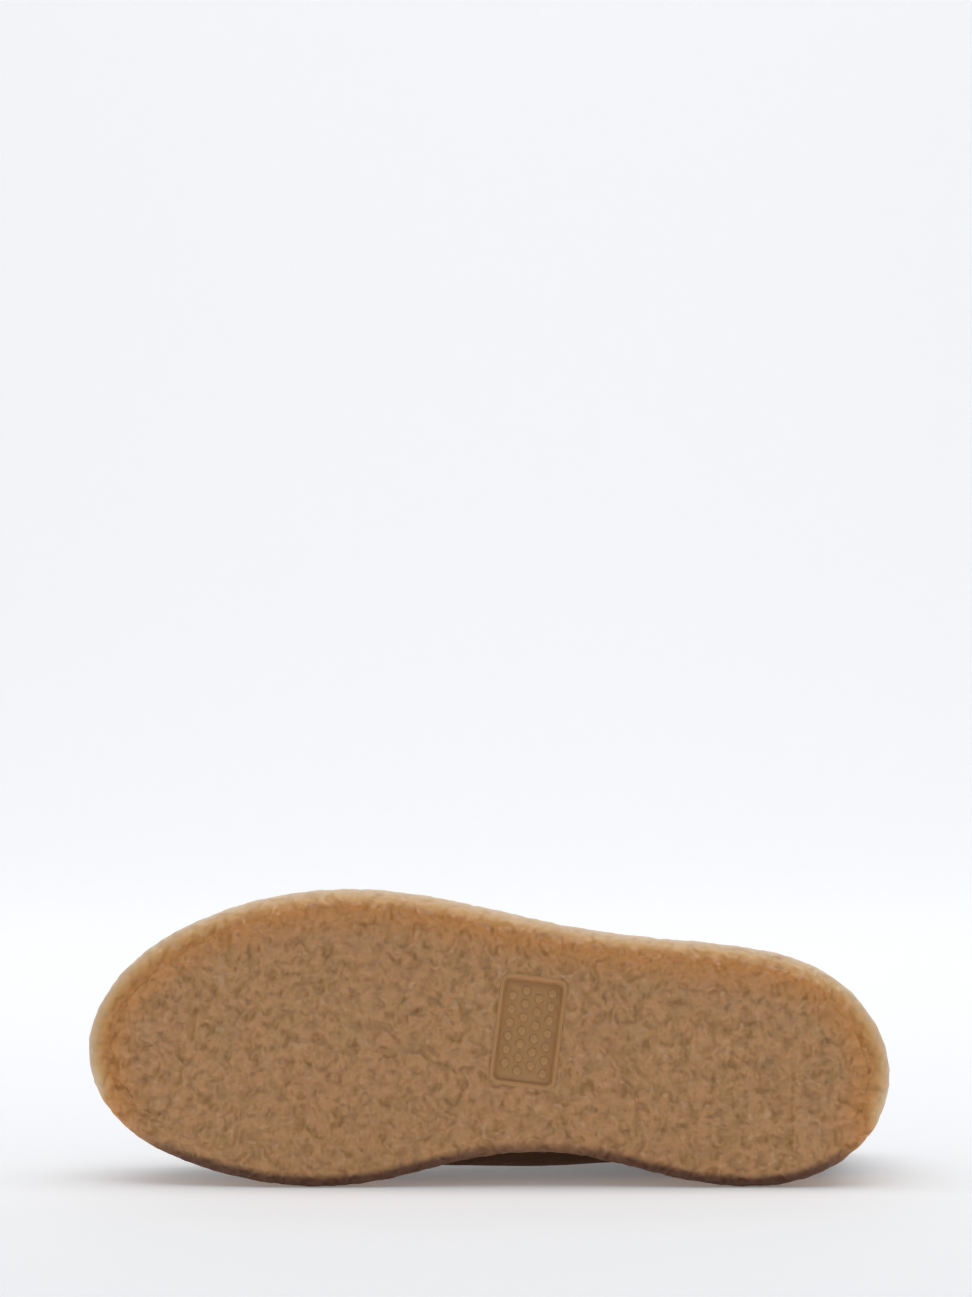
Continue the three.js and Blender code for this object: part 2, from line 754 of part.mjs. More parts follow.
const shoe = new THREE.Group();
function add(name, geometry, material) {
  const mesh = new THREE.Mesh(geometry, material);
  mesh.name = name;
  shoe.add(mesh);
}

const seats = { inner: [], outer: [] };
for (let row = 0; row < eyeletRows; row++) {
  seats.inner.push(eyeletSeat(1, row));
  seats.outer.push(eyeletSeat(-1, row));
}
const drills = [...seats.inner, ...seats.outer].map(holeCutter);

add("crepe_sole", soleGeometry(), crepe);
add("upper", cutAway(upperGeometry(), drills), suede);
add("insole", insoleGeometry(), lining);
add("tongue", tongueGeometry(), suede);
const shell = overlayShell();
add("eyestay", cutAway(cutTo(shell, sideBlock(stayShape())), drills), suedeTrim);
add("heel_counter", cutTo(shell, sideBlock(counterShape())), suedeTrim);
for (let row = 0; row < eyeletRows; row++) {
  add(`eyelet_inner_${row + 1}`, eyeletGeometry(seats.inner[row]), brass);
  add(`eyelet_outer_${row + 1}`, eyeletGeometry(seats.outer[row]), brass);
  add(`lace_bar_${row + 1}`, laceBarGeometry(seats.inner[row], seats.outer[row]), cotton);
}

// Laying the shoe on its inner side: first the straight line that touches the sole's inner edge
// at the ball and the heel, then the turn about that line until the upper touches too.
function layDown() {
  const points = [];
  shoe.traverse((o) => {
    if (!o.isMesh) return;
    const p = o.geometry.getAttribute("position");
    for (let i = 0; i < p.count; i++) points.push(new THREE.Vector3().fromBufferAttribute(p, i));
  });
  const waist = patchAlong * soleLength;
  const furthest = (list, direction) =>
    list.reduce((best, p) => (p.dot(direction) > best.dot(direction) ? p : best));
  const fore = points.filter((p) => p.y > waist);
  const rear = points.filter((p) => p.y <= waist);
  const out = new THREE.Vector3(1, 0, 0);
  let ball = furthest(fore, out);
  let heel = furthest(rear, out);
  for (let k = 0; k < 8; k++) {
    out.set(ball.y - heel.y, heel.x - ball.x, 0).normalize();
    ball = furthest(fore, out);
    heel = furthest(rear, out);
  }
  const line = ball.clone().sub(heel).normalize();
  const level = new THREE.Vector3().crossVectors(line, new THREE.Vector3(0, 0, 1)).normalize();
  const rise = new THREE.Vector3().crossVectors(level, line).normalize();
  let lean = Infinity;
  for (const p of points) {
    const off = p.clone().sub(heel);
    const up = off.dot(rise);
    if (up > heelPlatform) lean = Math.min(lean, Math.atan2(-off.dot(level), up));
  }
  const down = level.clone().multiplyScalar(Math.cos(lean)).addScaledVector(rise, Math.sin(lean));
  const z = down.clone().negate();
  const x = line.clone().negate();
  const y = new THREE.Vector3().crossVectors(z, x);
  return new THREE.Matrix4().makeBasis(x, y, z).transpose();
}

// The floor is at z = 0, and the origin is under the middle of the shoe's box.
shoe.applyMatrix4(layDown());
shoe.updateMatrixWorld(true);
const box = new THREE.Box3().setFromObject(shoe, true);
const middle = box.getCenter(new THREE.Vector3());
const part = new THREE.Group();
shoe.position.add(new THREE.Vector3(-middle.x, -middle.y, -box.min.z));
part.add(shoe);

export default part;
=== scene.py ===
import json
import math
from functools import partial

import bmesh
import bpy
import numpy as np
from mathutils import Matrix, Vector, noise


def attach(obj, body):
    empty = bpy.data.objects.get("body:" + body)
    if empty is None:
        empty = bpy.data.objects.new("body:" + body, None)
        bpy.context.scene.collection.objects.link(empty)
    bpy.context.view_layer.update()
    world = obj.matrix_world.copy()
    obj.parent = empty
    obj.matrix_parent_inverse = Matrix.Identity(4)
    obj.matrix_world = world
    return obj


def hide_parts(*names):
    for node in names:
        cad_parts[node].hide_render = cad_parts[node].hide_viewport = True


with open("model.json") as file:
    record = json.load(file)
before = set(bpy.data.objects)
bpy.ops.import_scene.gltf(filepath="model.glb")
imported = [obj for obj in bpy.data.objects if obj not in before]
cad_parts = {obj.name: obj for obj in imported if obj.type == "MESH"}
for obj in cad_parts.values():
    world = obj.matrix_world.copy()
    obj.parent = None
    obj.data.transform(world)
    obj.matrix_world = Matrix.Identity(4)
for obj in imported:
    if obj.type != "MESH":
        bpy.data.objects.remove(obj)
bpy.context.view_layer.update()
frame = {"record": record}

bl_info = {
    "name": "Suede Sneaker",
    "version": (1, 0, 0),
    "blender": (4, 5, 0),
    "location": "View3D > Sidebar > Sneaker",
    "description": "A left suede sneaker on a crepe rubber sole, lying on its inner side",
    "category": "Object",
}

# The shoe frame used by all shapes here: +X to the inner side, +Y to the toe, +Z up from the
# tread, in metres, with the origin under the back of the heel. Tables hold shares of the sizes.

# along the sole's length, across in ball widths, swell of the upper in ball widths
OUTLINE = [
    (1.0, -0.03, 0.015),
    (0.962, 0.203, 0.015),
    (0.872, 0.346, 0.015),
    (0.76, 0.418, 0.02),
    (0.64, 0.41, 0.035),
    (0.52, 0.334, 0.104),
    (0.4, 0.317, 0.112),
    (0.285, 0.384, 0.03),
    (0.18, 0.423, 0.002),
    (0.082, 0.37, 0.01),
    (0.018, 0.22, 0.025),
    (0.0, 0.035, 0.03),
    (0.022, -0.14, 0.025),
    (0.088, -0.3, 0.02),
    (0.185, -0.374, 0.02),
    (0.29, -0.402, 0.03),
    (0.4, -0.442, 0.035),
    (0.51, -0.506, 0.03),
    (0.62, -0.556, 0.02),
    (0.73, -0.554, 0.02),
    (0.835, -0.487, 0.015),
    (0.925, -0.363, 0.015),
    (0.982, -0.2, 0.015),
]
HEEL_ROW = 11

# along, share of the instep height, share of the toe box height, across
RIDGE = [
    (-0.05, 1.76, 0.0, 0.025),
    (0.13, 1.66, 0.0, 0.02),
    (0.25, 1.46, 0.0, -0.005),
    (0.34, 1.24, 0.0, -0.03),
    (0.42, 1.02, 0.0, -0.045),
    (0.5, 0.8, 0.12, -0.056),
    (0.58, 0.56, 0.36, -0.063),
    (0.66, 0.34, 0.62, -0.066),
    (0.75, 0.15, 0.88, -0.064),
    (0.85, 0.04, 1.0, -0.055),
    (0.95, 0.0, 1.0, -0.042),
    (1.05, 0.0, 0.92, -0.03),
]

# along, share of the collar height
COLLAR = [
    (-0.02, 1.0),
    (0.025, 0.995),
    (0.065, 0.955),
    (0.12, 0.88),
    (0.18, 0.83),
    (0.24, 0.815),
    (0.3, 0.85),
    (0.355, 0.94),
    (0.4, 1.07),
    (0.44, 1.25),
]

# along, share of the way from the platform up to the ridge
FACING = [
    (0.3, 0.62),
    (0.36, 0.66),
    (0.43, 0.7),
    (0.51, 0.73),
    (0.59, 0.76),
    (0.655, 0.83),
    (0.69, 0.95),
    (0.7, 1.1),
]

# Places along the sole, as shares of its length
THROAT_FRONT = 0.66
EYELETS_FRONT, EYELETS_BACK = 0.62, 0.425
TONGUE_FRONT, TONGUE_BACK = 0.71, 0.37

# The heel counter's reach, as a share of the sole, and its heights, as shares of the collar's
COUNTER_REACH, COUNTER_TOP, COUNTER_LOW = 0.14, 0.86, 0.5

# In metres: under a second layer or an eyelet's flange, round an eyelet's barrel, how far the
# hole's cutter reaches to both sides, and from the collar's edge down to its seam
LAYER_GAP = 0.0001
HOLE_ROOM = 0.00045
HOLE_DEPTH = 0.006
COLLAR_SEAM = 0.011

# The flex creases over the ball: along at the ridge, how far each sweeps back at the sides,
# depth in millimetres and width in millimetres
CREASES = [
    (0.742, 0.05, 2.3, 7.0),
    (0.715, 0.075, 1.4, 5.2),
    (0.772, 0.035, 1.5, 6.0),
    (0.66, 0.1, 0.9, 5.6),
]


def length(name, text, mm):
    return bpy.props.FloatProperty(
        name=name, description=text, default=mm / 1000, min=0.0, unit="LENGTH", precision=5
    )


def share(name, text, value):
    return bpy.props.FloatProperty(name=name, description=text, default=value)


def count(name, text, value):
    return bpy.props.IntProperty(name=name, description=text, default=value, min=1)


def srgb(code):
    """A hex colour as linear red, green and blue with full alpha."""
    parts = [int(code[i : i + 2], 16) / 255 for i in (0, 2, 4)]
    return [p / 12.92 if p <= 0.04045 else ((p + 0.055) / 1.055) ** 2.4 for p in parts] + [1.0]


def colour(name, text, code):
    return bpy.props.FloatVectorProperty(
        name=name, description=text, subtype="COLOR", size=4, min=0, max=1, default=srgb(code)
    )


class SoleSizes(bpy.types.PropertyGroup):
    sole_length: length("Sole length", "Heel to toe", 276)
    ball_width: length("Ball width", "Across the widest part", 103)
    heel_platform: length("Heel platform", "Tread to bed under the heel", 20)
    ball_platform: length("Ball platform", "Tread to bed under the ball", 13)
    rim_height: length("Rim height", "Cup rim above the bed", 8)
    rim_width: length("Rim width", "Outline to the inside of the rim", 6.8)
    rim_round: length("Rim round", "Rounding at the rim's top", 1.2)
    wall_draft: length("Wall draft", "Lean of the side wall", 4.2)
    tread_round: length("Tread round", "Height of the rounded lower edge", 5)
    shoulder: length("Shoulder", "Width of the rounded lower edge, softened by wear", 8)
    toe_spring: length("Toe spring", "Rise of the toe tip", 11)
    heel_bevel: length("Heel bevel", "Rise of the heel's back", 2.5)
    crinkle: length("Crinkle", "Depth of the crepe's lumps", 0.9)
    lump: length("Lump", "Width of one lump of the crepe", 3.6)
    patch_width: length("Patch width", "Along the sole", 20.2)
    patch_length: length("Patch length", "Across the sole", 35.4)
    patch_depth: length("Patch depth", "Below the tread", 1.1)
    patch_corner: length("Patch corner", "Corner radius", 2.2)
    patch_turn: bpy.props.FloatProperty(
        name="Patch turn",
        description="Turn across the waist",
        default=math.radians(7.2),
        subtype="ANGLE",
    )
    patch_along: share("Patch along", "Place along the sole", 0.45)
    patch_across: share("Patch across", "Place across, in ball widths", -0.086)


class UpperSizes(bpy.types.PropertyGroup):
    wall: length("Wall", "Suede with its lining", 2.4)
    collar_pad: length("Collar pad", "Extra thickness round the ankle", 3.6)
    clearance: length("Clearance", "Gap between neighbours", 0.3)
    instep_height: length("Instep height", "Ridge over the instep", 100)
    toe_box_height: length("Toe box height", "Ridge over the toes", 60)
    collar_height: length("Collar height", "Top of the heel", 98)
    collar_slant: length("Collar slant", "Outer ankle below the inner one", 4)
    side_round: share("Side round", "Squareness from side to top", 2.3)
    toe_round: share("Toe round", "Squareness from the tip back", 2.2)
    swell_height: length("Swell height", "Where the sides swell most", 15)
    throat_half_front: length("Throat front", "Half width of the throat's front", 9)
    throat_half_top: length("Throat top", "Half width of the throat's top", 15)
    overlay: length("Overlay", "Thickness of the second layer", 1.5)
    stay_edge: length("Facing edge", "Facing back from the throat", 1.6)
    tongue_thick: length("Tongue", "Thickness of the tongue", 4.5)
    tongue_half_front: length("Tongue front", "Half width under the vamp", 17)
    tongue_half_top: length("Tongue top", "Half width at the top", 21)
    tongue_round: length("Tongue round", "Rounding of its corners", 9)
    tongue_gap: length("Tongue gap", "Below the upper", 0.6)
    insole_thick: length("Insole", "Thickness of the insole", 4.5)


class TrimSizes(bpy.types.PropertyGroup):
    eyelet_rows: count("Eyelet rows", "Pairs of eyelets", 6)
    eyelet_inset: length("Eyelet inset", "From the throat's edge", 9)
    eyelet_flange: length("Eyelet flange", "Outer radius", 4)
    eyelet_bore: length("Eyelet bore", "Inner radius", 1.9)
    lace_width: length("Lace width", "Flat lace", 7)
    lace_thick: length("Lace thickness", "Flat lace", 1.4)
    stitch_pitch: length("Stitch pitch", "Stitch to stitch", 2.7)
    stitch_length: length("Stitch length", "One visible stitch", 1.9)
    stitch_radius: length("Stitch radius", "Thread", 0.32)
    stitch_inset: length("Stitch inset", "From an overlay's edge", 2.4)
    stud_pitch: length("Stud pitch", "Stud to stud in the patch", 4.6)
    stud_radius: length("Stud radius", "One stud", 1.5)


class Colours(bpy.types.PropertyGroup):
    crepe: colour("Crepe", "Face of the crepe rubber", "D19D69")
    # a darker crepe tone: painted shade in the pits of the crepe's lumps, and the polished patch's darker
    # tone
    crepe_dark_and_pit_shade: colour("Crepe pits", "Creases of the crepe rubber", "BC8C56")
    # painted glow: the pale outer band of the edge, where light shines through the rubber
    crepe_rim: colour("Crepe rim", "Thin light rim", "E9D3B8")
    suede: colour("Suede", "Nap lying flat", "513828")
    suede_brushed: colour("Suede brushed", "Nap brushed up", "5F4532")
    lining: colour("Lining", "Smooth leather inside", "A98560")
    lace: colour("Lace", "Cotton lace", "3E2C21")
    thread: colour("Thread", "Seams", "664B38")
    metal: colour("Eyelet", "Dark bronze", "5B4630")
    floor: colour("Floor", "White sweep", "F4F5F7")


class StageSizes(bpy.types.PropertyGroup):
    camera_distance: bpy.props.FloatProperty(
        name="Camera distance", description="To the shoe", default=1.419, unit="LENGTH"
    )
    camera_height: bpy.props.FloatProperty(
        name="Camera height", description="Above the floor", default=0.1836, unit="LENGTH"
    )
    lens: bpy.props.FloatProperty(name="Lens", description="Focal length in mm", default=111)


GROUPS = {
    "sneaker_sole": SoleSizes,
    "sneaker_upper": UpperSizes,
    "sneaker_trim": TrimSizes,
    "sneaker_colours": Colours,
    "sneaker_stage": StageSizes,
}


def sizes(name):
    return getattr(bpy.context.scene, "sneaker_" + name)


# Curves


def spline(xs, ys, period=0.0):
    """A curve through table rows with even slopes; a period closes it into a loop."""
    n = len(xs)
    last = n if period else n - 1
    gap = [(xs[0] + period if i == n - 1 else xs[i + 1]) - xs[i] for i in range(last)]
    pitch = [(ys[(i + 1) % n] - ys[i]) / gap[i] for i in range(last)]
    slope = [0.0] * n
    for _ in range(60):
        for i in range(n):
            before, after = (i + n - 1) % n, (i + 1) % n
            if not period and i == 0:
                slope[0] = (3 * pitch[0] - slope[1]) / 2
            elif not period and i == n - 1:
                slope[i] = (3 * pitch[before] - slope[before]) / 2
            else:
                a, b = 1 / gap[before], 1 / gap[i]
                pull = 3 * (pitch[before] * a + pitch[i] * b)
                slope[i] = (pull - slope[before] * a - slope[after] * b) / (2 * (a + b))
    knots, values, slopes = np.array(xs), np.array(ys), np.array(slope)
    gaps = np.array(gap)

    def at(value):
        x = np.asarray(value, float)
        if period:
            x = xs[0] + np.mod(x - xs[0], period)
        i = np.clip(np.searchsorted(knots, x, side="right") - 1, 0, last - 1)
        j = (i + 1) % n
        h = gaps[i]
        u = (x - knots[i]) / h
        v = np.clip(u, 0, 1)
        bend = (slopes[i] * (1 - v) - slopes[j] * v) * h
        inside = values[i] + (values[j] - values[i]) * v * v * (3 - 2 * v) + bend * v * (1 - v)
        if period:
            return inside
        return inside + np.where(u < 0, u * h * slopes[i], (u - v) * h * slopes[j])

    return at


def smooth(u):
    v = np.clip(u, 0, 1)
    return v * v * (3 - 2 * v)


class Shoe:
    """The shoe's own surfaces, from the sizes and the tables."""

    WAYS = 1440
    TURNS = 200

    def __init__(self):
        self.s, self.u = sizes("sole"), sizes("upper")
        s = self.s
        self.L, self.B = s.sole_length, s.ball_width
        ys = [row[0] * self.L for row in OUTLINE]
        xs = [row[1] * self.B for row in OUTLINE]
        knots = [0.0]
        for i in range(len(OUTLINE)):
            j = (i + 1) % len(OUTLINE)
            knots.append(knots[-1] + math.hypot(xs[j] - xs[i], ys[j] - ys[i]))
        self.girth = knots.pop()
        self.inner = knots[HEEL_ROW]
        self.edge_x = spline(knots, xs, self.girth)
        self.edge_y = spline(knots, ys, self.girth)
        self.swell = spline(knots, [row[2] * self.B for row in OUTLINE], self.girth)
        alongs = [row[0] for row in RIDGE]
        self.ridge_instep = spline(alongs, [row[1] for row in RIDGE])
        self.ridge_toe = spline(alongs, [row[2] for row in RIDGE])
        self.ridge_across = spline(alongs, [row[3] for row in RIDGE])
        self.collar = spline([row[0] for row in COLLAR], [row[1] for row in COLLAR])
        self.inset = s.rim_width + self.u.clearance
        self.lay_grid()

    def around(self, way):
        """Length on the outline of a way: 0 at the toe, 1 at the heel by the inner side, else -1."""
        way = np.asarray(way, float)
        return np.where(way >= 0, way * self.inner, self.girth + way * (self.girth - self.inner))

    def edge(self, way, out=0.0):
        """Points of the sole's outline moved out, with outward directions and shares along."""
        s = self.around(way)
        step = 0.0005
        dx = self.edge_x(s + step) - self.edge_x(s - step)
        dy = self.edge_y(s + step) - self.edge_y(s - step)
        size = np.hypot(dx, dy)
        nx, ny = -dy / size, dx / size
        x, y = self.edge_x(s), self.edge_y(s)
        return x + nx * out, y + ny * out, nx, ny, y / self.L

    def spring(self, along):
        """How far the toe lifts off the floor."""
        return self.s.toe_spring * np.maximum(0, (along - 0.7) / 0.3) ** 2

    def tread(self, along):
        """The tread's height, with the toe's and the heel's rise."""
        return self.spring(along) + self.s.heel_bevel * np.maximum(0, (0.1 - along) / 0.1) ** 2

    def platform(self, along):
        """The height of the sole's bed."""
        fall = smooth((along - 0.28) / (0.64 - 0.28))
        high, low = self.s.heel_platform, self.s.ball_platform
        return high + (low - high) * fall + self.spring(along)

    def ridge(self, along):
        """The height of the upper's top line."""
        toe = self.ridge_toe(along) * self.u.toe_box_height
        return self.ridge_instep(along) * self.u.instep_height + toe

    def spine(self, way):
        """The spot in plan at which a ray ends, under the top line."""
        f = np.abs(way)
        part = f - 0.9 * np.sin(2 * math.pi * f) / (2 * math.pi)
        along = 0.63 + (0.13 - 0.63) * part
        return self.ridge_across(along) * self.B, along * self.L

    def sole_middle(self, way):
        """The line half way between the sole's two edges, by the same way on both sides."""
        if not hasattr(self, "middle_line"):
            ways = np.linspace(0.002, 0.998, 400)
            inner, outer = self.edge(ways), self.edge(-ways)
            y = np.linspace(0.02, 0.98, 200) * self.L
            inside = np.interp(y, inner[1][::-1], inner[0][::-1])
            outside = np.interp(y, outer[1][::-1], outer[0][::-1])
            self.middle_line = (y, (inside + outside) / 2)
        f = np.abs(way)
        part = f - 0.86 * np.sin(2 * math.pi * f) / (2 * math.pi)
        y = (0.845 - 0.685 * part) * self.L
        return np.interp(y, *self.middle_line), y

    def foot(self, way):
        """Where rays start and end in plan, and how they bulge between."""
        x, y, nx, ny, along = self.edge(way, -self.inset)
        sx, sy = self.spine(way)
        reach = np.hypot(x - sx, y - sy)
        power = np.maximum(self.u.side_round, self.u.toe_round * reach / (self.B / 2))
        z = self.platform(along) + self.u.clearance
        return x, y, z, sx, sy, nx, ny, power, self.swell(self.around(way)), along

    def last(self, foot, turns):
        """The upper's outside on some rays, from the foot line (turn 0) over to the ridge."""
        fx, fy, fz, sx, sy, nx, ny, power, swell = (v[:, None] for v in foot[:9])
        part = np.cos(turns)
        x, y = sx + (fx - sx) * part, sy + (fy - sy) * part
        rise = (self.ridge(y / self.L) - fz) * np.sqrt(np.maximum(0, 1 - part**power))
        over = np.maximum(0, rise - self.s.rim_height) / self.u.swell_height
        out = swell * (over * np.exp(1 - over)) ** 2
        return np.stack([x + nx * out, y + ny * out, fz + rise], -1)

    def lay_grid(self):
        """Points, normals, lengths and creases on all rays, and where each ray opens."""
        self.ways = np.linspace(-1, 1, self.WAYS + 1)
        self.turns = np.linspace(0, math.pi / 2, self.TURNS + 1)
        foot = self.foot(self.ways)
        self.foot_along = foot[9]
        p = self.last(foot, self.turns[None, :])
        after = np.r_[1 : self.WAYS + 1, 1]
        before = np.r_[self.WAYS - 1, 0 : self.WAYS]
        n = np.cross(np.gradient(p, axis=1), p[after] - p[before])
        n /= np.linalg.norm(n, axis=-1, keepdims=True)
        steps = np.linalg.norm(np.diff(p, axis=1), axis=-1)
        s = np.concatenate([np.zeros((len(p), 1)), np.cumsum(steps, axis=1)], axis=1)
        first = np.argmax(self.is_open(p)[:, 1:], axis=1) + 1
        low, high = self.turns[first - 1], self.turns[first]
        for _ in range(16):
            middle = (low + high) / 2
            cut = self.is_open(self.last(foot, middle[:, None])[:, 0])
            low, high = np.where(cut, low, middle), np.where(cut, middle, high)
        self.p, self.n, self.s_of, self.creased = p, n, s, self.relief(p)
        self.open = np.array([np.interp(t, self.turns, row) for t, row in zip(low, s)])
        self.plan = {}
        for side in (1, -1):
            ways = np.linspace(0, 1, 900) * side
            self.plan[side] = (ways, *self.foot(ways)[:2], *self.spine(ways))
        self.kept = {}

    def throat_half(self, along):
        """Half the width of the throat."""
        front, back = THROAT_FRONT, COLLAR[-1][0]
        part = np.clip((front - along) / (front - back), 0, 1)
        u = self.u
        return u.throat_half_front + (u.throat_half_top - u.throat_half_front) * part

    def is_open(self, p):
        """Whether points lie in the collar's opening or the throat."""
        u = self.u
        along = p[..., 1] / self.L
        off = p[..., 0] - self.ridge_across(along) * self.B
        slant = u.collar_slant / 2 * (1 - np.clip(off / 0.02, -1, 1))
        end = COLLAR[-1][0]
        collar = (along < end) & (p[..., 2] > self.collar(along) * u.collar_height - slant)
        r = u.throat_half_front
        nose = np.clip((r - (THROAT_FRONT * self.L - p[..., 1])) / r, 0, 1)
        half = self.throat_half(along) * np.sqrt(1 - nose**2)
        throat = (along < THROAT_FRONT) & (along >= end - 0.1) & (np.abs(off) < half)
        return collar | throat

    def relief(self, p):
        """Soft creases of the worn-in upper, in metres, by place in the shoe."""
        along = p[..., 1] / self.L
        off = (p[..., 0] - self.ridge_across(along) * self.B) / self.B
        top = smooth((p[..., 2] - 0.026) / 0.02)
        out = np.zeros(along.shape)
        for at, sweep, deep, wide in CREASES:
            wave = 0.006 * np.sin(off * 31 + at * 90)
            d = (along - (at - sweep * (2.2 * off) ** 2 + wave)) * self.L / (wide / 1000)
            fade = np.exp(-((off + 0.05) ** 2) / 0.22)
            out -= deep / 1000 * np.exp(-d * d) * fade * top
            out += 0.35 * deep / 1000 * np.exp(-((d - 1.9) ** 2) / 1.4) * fade * top
        quarter = np.exp(-(((along - 0.3) / 0.07) ** 2) - ((p[..., 2] - 0.05) / 0.02) ** 2)
        out -= 0.0009 * quarter * (0.5 + 0.5 * np.sin(p[..., 2] * 420 + along * 22))
        return out

    def ray(self, way):
        """One ray's points, normals, lengths, creases, opening length and place along."""
        way = way - 2 if way > 1 else way + 2 if way < -1 else way
        key = round(way, 6)
        if key not in self.kept:
            at = (way + 1) / 2 * self.WAYS
            i = min(int(at), self.WAYS - 1)
            part = at - i
            tables = (self.p, self.n, self.s_of, self.creased, self.open, self.foot_along)
            self.kept[key] = [t[i] + (t[i + 1] - t[i]) * part for t in tables]
        return self.kept[key]

    def skin(self, way, s, lift=0.0):
        """Points on one ray at lengths s, lifted along the normals, with the creases in."""
        p, n, lengths, creased, _, _ = self.ray(way)
        s = np.atleast_1d(np.asarray(s, float))
        at = np.stack([np.interp(s, lengths, p[:, k]) for k in range(3)], -1)
        out = np.stack([np.interp(s, lengths, n[:, k]) for k in range(3)], -1)
        out /= np.linalg.norm(out, axis=-1, keepdims=True)
        up = np.interp(s, lengths, creased) + lift
        return at + out * np.asarray(up)[..., None]

    def open_at(self, way):
        """The length on a ray at which the upper's opening starts."""
        return float(self.ray(way)[4])

    def rim_clear(self, way):
        """The length on a ray at which the upper leaves the sole's rim."""
        p, _, lengths = self.ray(way)[:3]
        return float(np.interp(self.s.rim_height, p[:, 2] - p[0, 2], lengths))

    def wall_at(self, way, part):
        """The wall's thickness, with the pad that comes in near the ankle."""
        back = smooth((abs(way) - 0.6) / 0.14)
        return self.u.wall + self.u.collar_pad * back * smooth((part - 0.4) / 0.35)

    def over(self, along, off, side):
        """The ray and the length on it over a spot in plan, off the ridge to one side."""
        ways, fx, fy, sx, sy = self.plan[side]
        x = float(self.ridge_across(along)) * self.B + side * off
        y = along * self.L
        cross = side * ((fx - sx) * (y - sy) - (fy - sy) * (x - sx))
        low, i = 0, len(ways) - 1
        while i - low > 1:
            middle = (low + i) // 2
            low, i = (middle, i) if cross[middle] < 0 else (low, middle)
        ratio = cross[i - 1] / (cross[i - 1] - cross[i])
        fx, fy, sx, sy, way = (t[i - 1] + (t[i] - t[i - 1]) * ratio for t in (fx, fy, sx, sy, ways))
        part = math.hypot(x - sx, y - sy) / math.hypot(fx - sx, fy - sy)
        lengths = self.ray(float(way))[2]
        return float(way), float(np.interp(math.acos(min(1, part)), self.turns, lengths))

    def spot(self, along, off, side, lift=0.0):
        """A point over a spot in plan and the direction out of the upper there."""
        way, s = self.over(along, off, side)
        low, high = self.skin(way, s, lift)[0], self.skin(way, s, lift + 0.001)[0]
        return low, (high - low) / 0.001

    def crossing(self, way, inside, from_end):
        """The length on a ray at which inside(points) turns from below to above zero."""
        p, _, lengths = self.ray(way)[:3]
        value = inside(p)
        keep = lengths <= self.open_at(way)
        value, at = value[keep], lengths[keep]
        out = np.nonzero(value < 0)[0]
        if len(out) == 0:
            return float(at[-1] if from_end else at[0])
        i = out[-1] if not from_end else out[0]
        j = i + 1 if not from_end else i - 1
        if not 0 <= j < len(at):
            return float(at[i])
        return float(at[i] + (at[j] - at[i]) * value[i] / (value[i] - value[j]))

    def facing_low(self, way):
        """The length on a ray at which the facing starts."""
        alongs = np.linspace(FACING[0][0], FACING[-1][0], 80)
        part = spline([row[0] for row in FACING], [row[1] for row in FACING])(alongs)
        low = self.platform(alongs)
        heights = low + (self.ridge(alongs) - low) * part

        def inside(p):
            along = p[:, 1] / self.L
            ends = np.minimum(along - FACING[0][0], FACING[-1][0] - along) * self.L
            return np.minimum(ends, p[:, 2] - np.interp(along, alongs, heights))

        return self.crossing(way, inside, False)

    def facing_end(self, side):
        """The last ray, from the toe, on which the facing is still a few millimetres wide."""
        ways = np.arange(0.2, 0.8, 0.004)
        for way in ways:
            room = self.open_at(side * way) - self.u.stay_edge - self.facing_low(side * way)
            if room < 0.004:
                return side * float(way - 0.004)
        return side * 0.8

    def counter_high(self, way):
        """The length on a ray at which the heel counter ends."""
        reach = COUNTER_REACH * self.L
        top, low = (part * self.u.collar_height for part in (COUNTER_TOP, COUNTER_LOW))
        t = np.linspace(0, 1, 60)
        curve = [(reach, low * 0.6), (reach * 0.9, low * 1.35), (reach * 0.35, low * 1.3)]
        curve.append((reach * 0.12, top))
        weights = ((1 - t) ** 3, 3 * t * (1 - t) ** 2, 3 * t * t * (1 - t), t**3)
        y, z = (sum(w * c[k] for w, c in zip(weights, curve)) for k in range(2))
        y, z = np.r_[-0.1 * self.L, y[::-1]], np.r_[top * 1.04, z[::-1]]

        def inside(p):
            return np.minimum(reach - p[:, 1], np.interp(p[:, 1], y, z) - p[:, 2])

        return self.crossing(way, inside, True)

    def counter_end(self, side):
        """The ray nearest the toe on which the heel counter is still a few millimetres high."""
        for way in np.arange(1.0, 0.5, -0.002):
            if self.counter_high(side * way) - self.rim_clear(side * way) < 0.004:
                return side * float(way + 0.002)
        return side * 0.5

    def eyelet_seat(self, side, row):
        """Place along the sole, distance off the ridge, point and outward direction."""
        t = sizes("trim")
        along = EYELETS_FRONT + (EYELETS_BACK - EYELETS_FRONT) * row / (t.eyelet_rows - 1)
        half = float(self.throat_half(along))
        offs = np.linspace(half, half + t.eyelet_inset, 40)
        p = np.array([self.spot(along, off, side)[0] for off in offs])
        away = np.linalg.norm(p - p[0], axis=1)
        off = float(np.interp(t.eyelet_inset, away, offs))
        return along, off, *self.spot(along, off, side)


def shoe_matrix():
    """From the shoe frame to the row frame, by the two flat spots of the tread."""
    mounts = {m["name"]: m for m in frame["record"]["mounts"]}
    heel, ball = mounts["heel_tread"], mounts["forefoot_tread"]
    start, end = Vector(heel["pos_m"]), Vector(ball["pos_m"])
    z = -Vector(heel["axis"]).normalized()
    s = sizes("sole")
    own = Vector((-0.008, 0.42 * s.sole_length, 0)).normalized()
    d = (end - start).normalized()
    e = d.cross(z).normalized()
    x = (own.x * d + own.y * e).normalized()
    y = z.cross(x)
    turn = Matrix((x, y, z)).transposed().to_4x4()
    origin = start - turn.to_3x3() @ Vector((0.002, 0.2 * s.sole_length, 0))
    return Matrix.Translation(origin) @ turn


# Meshes


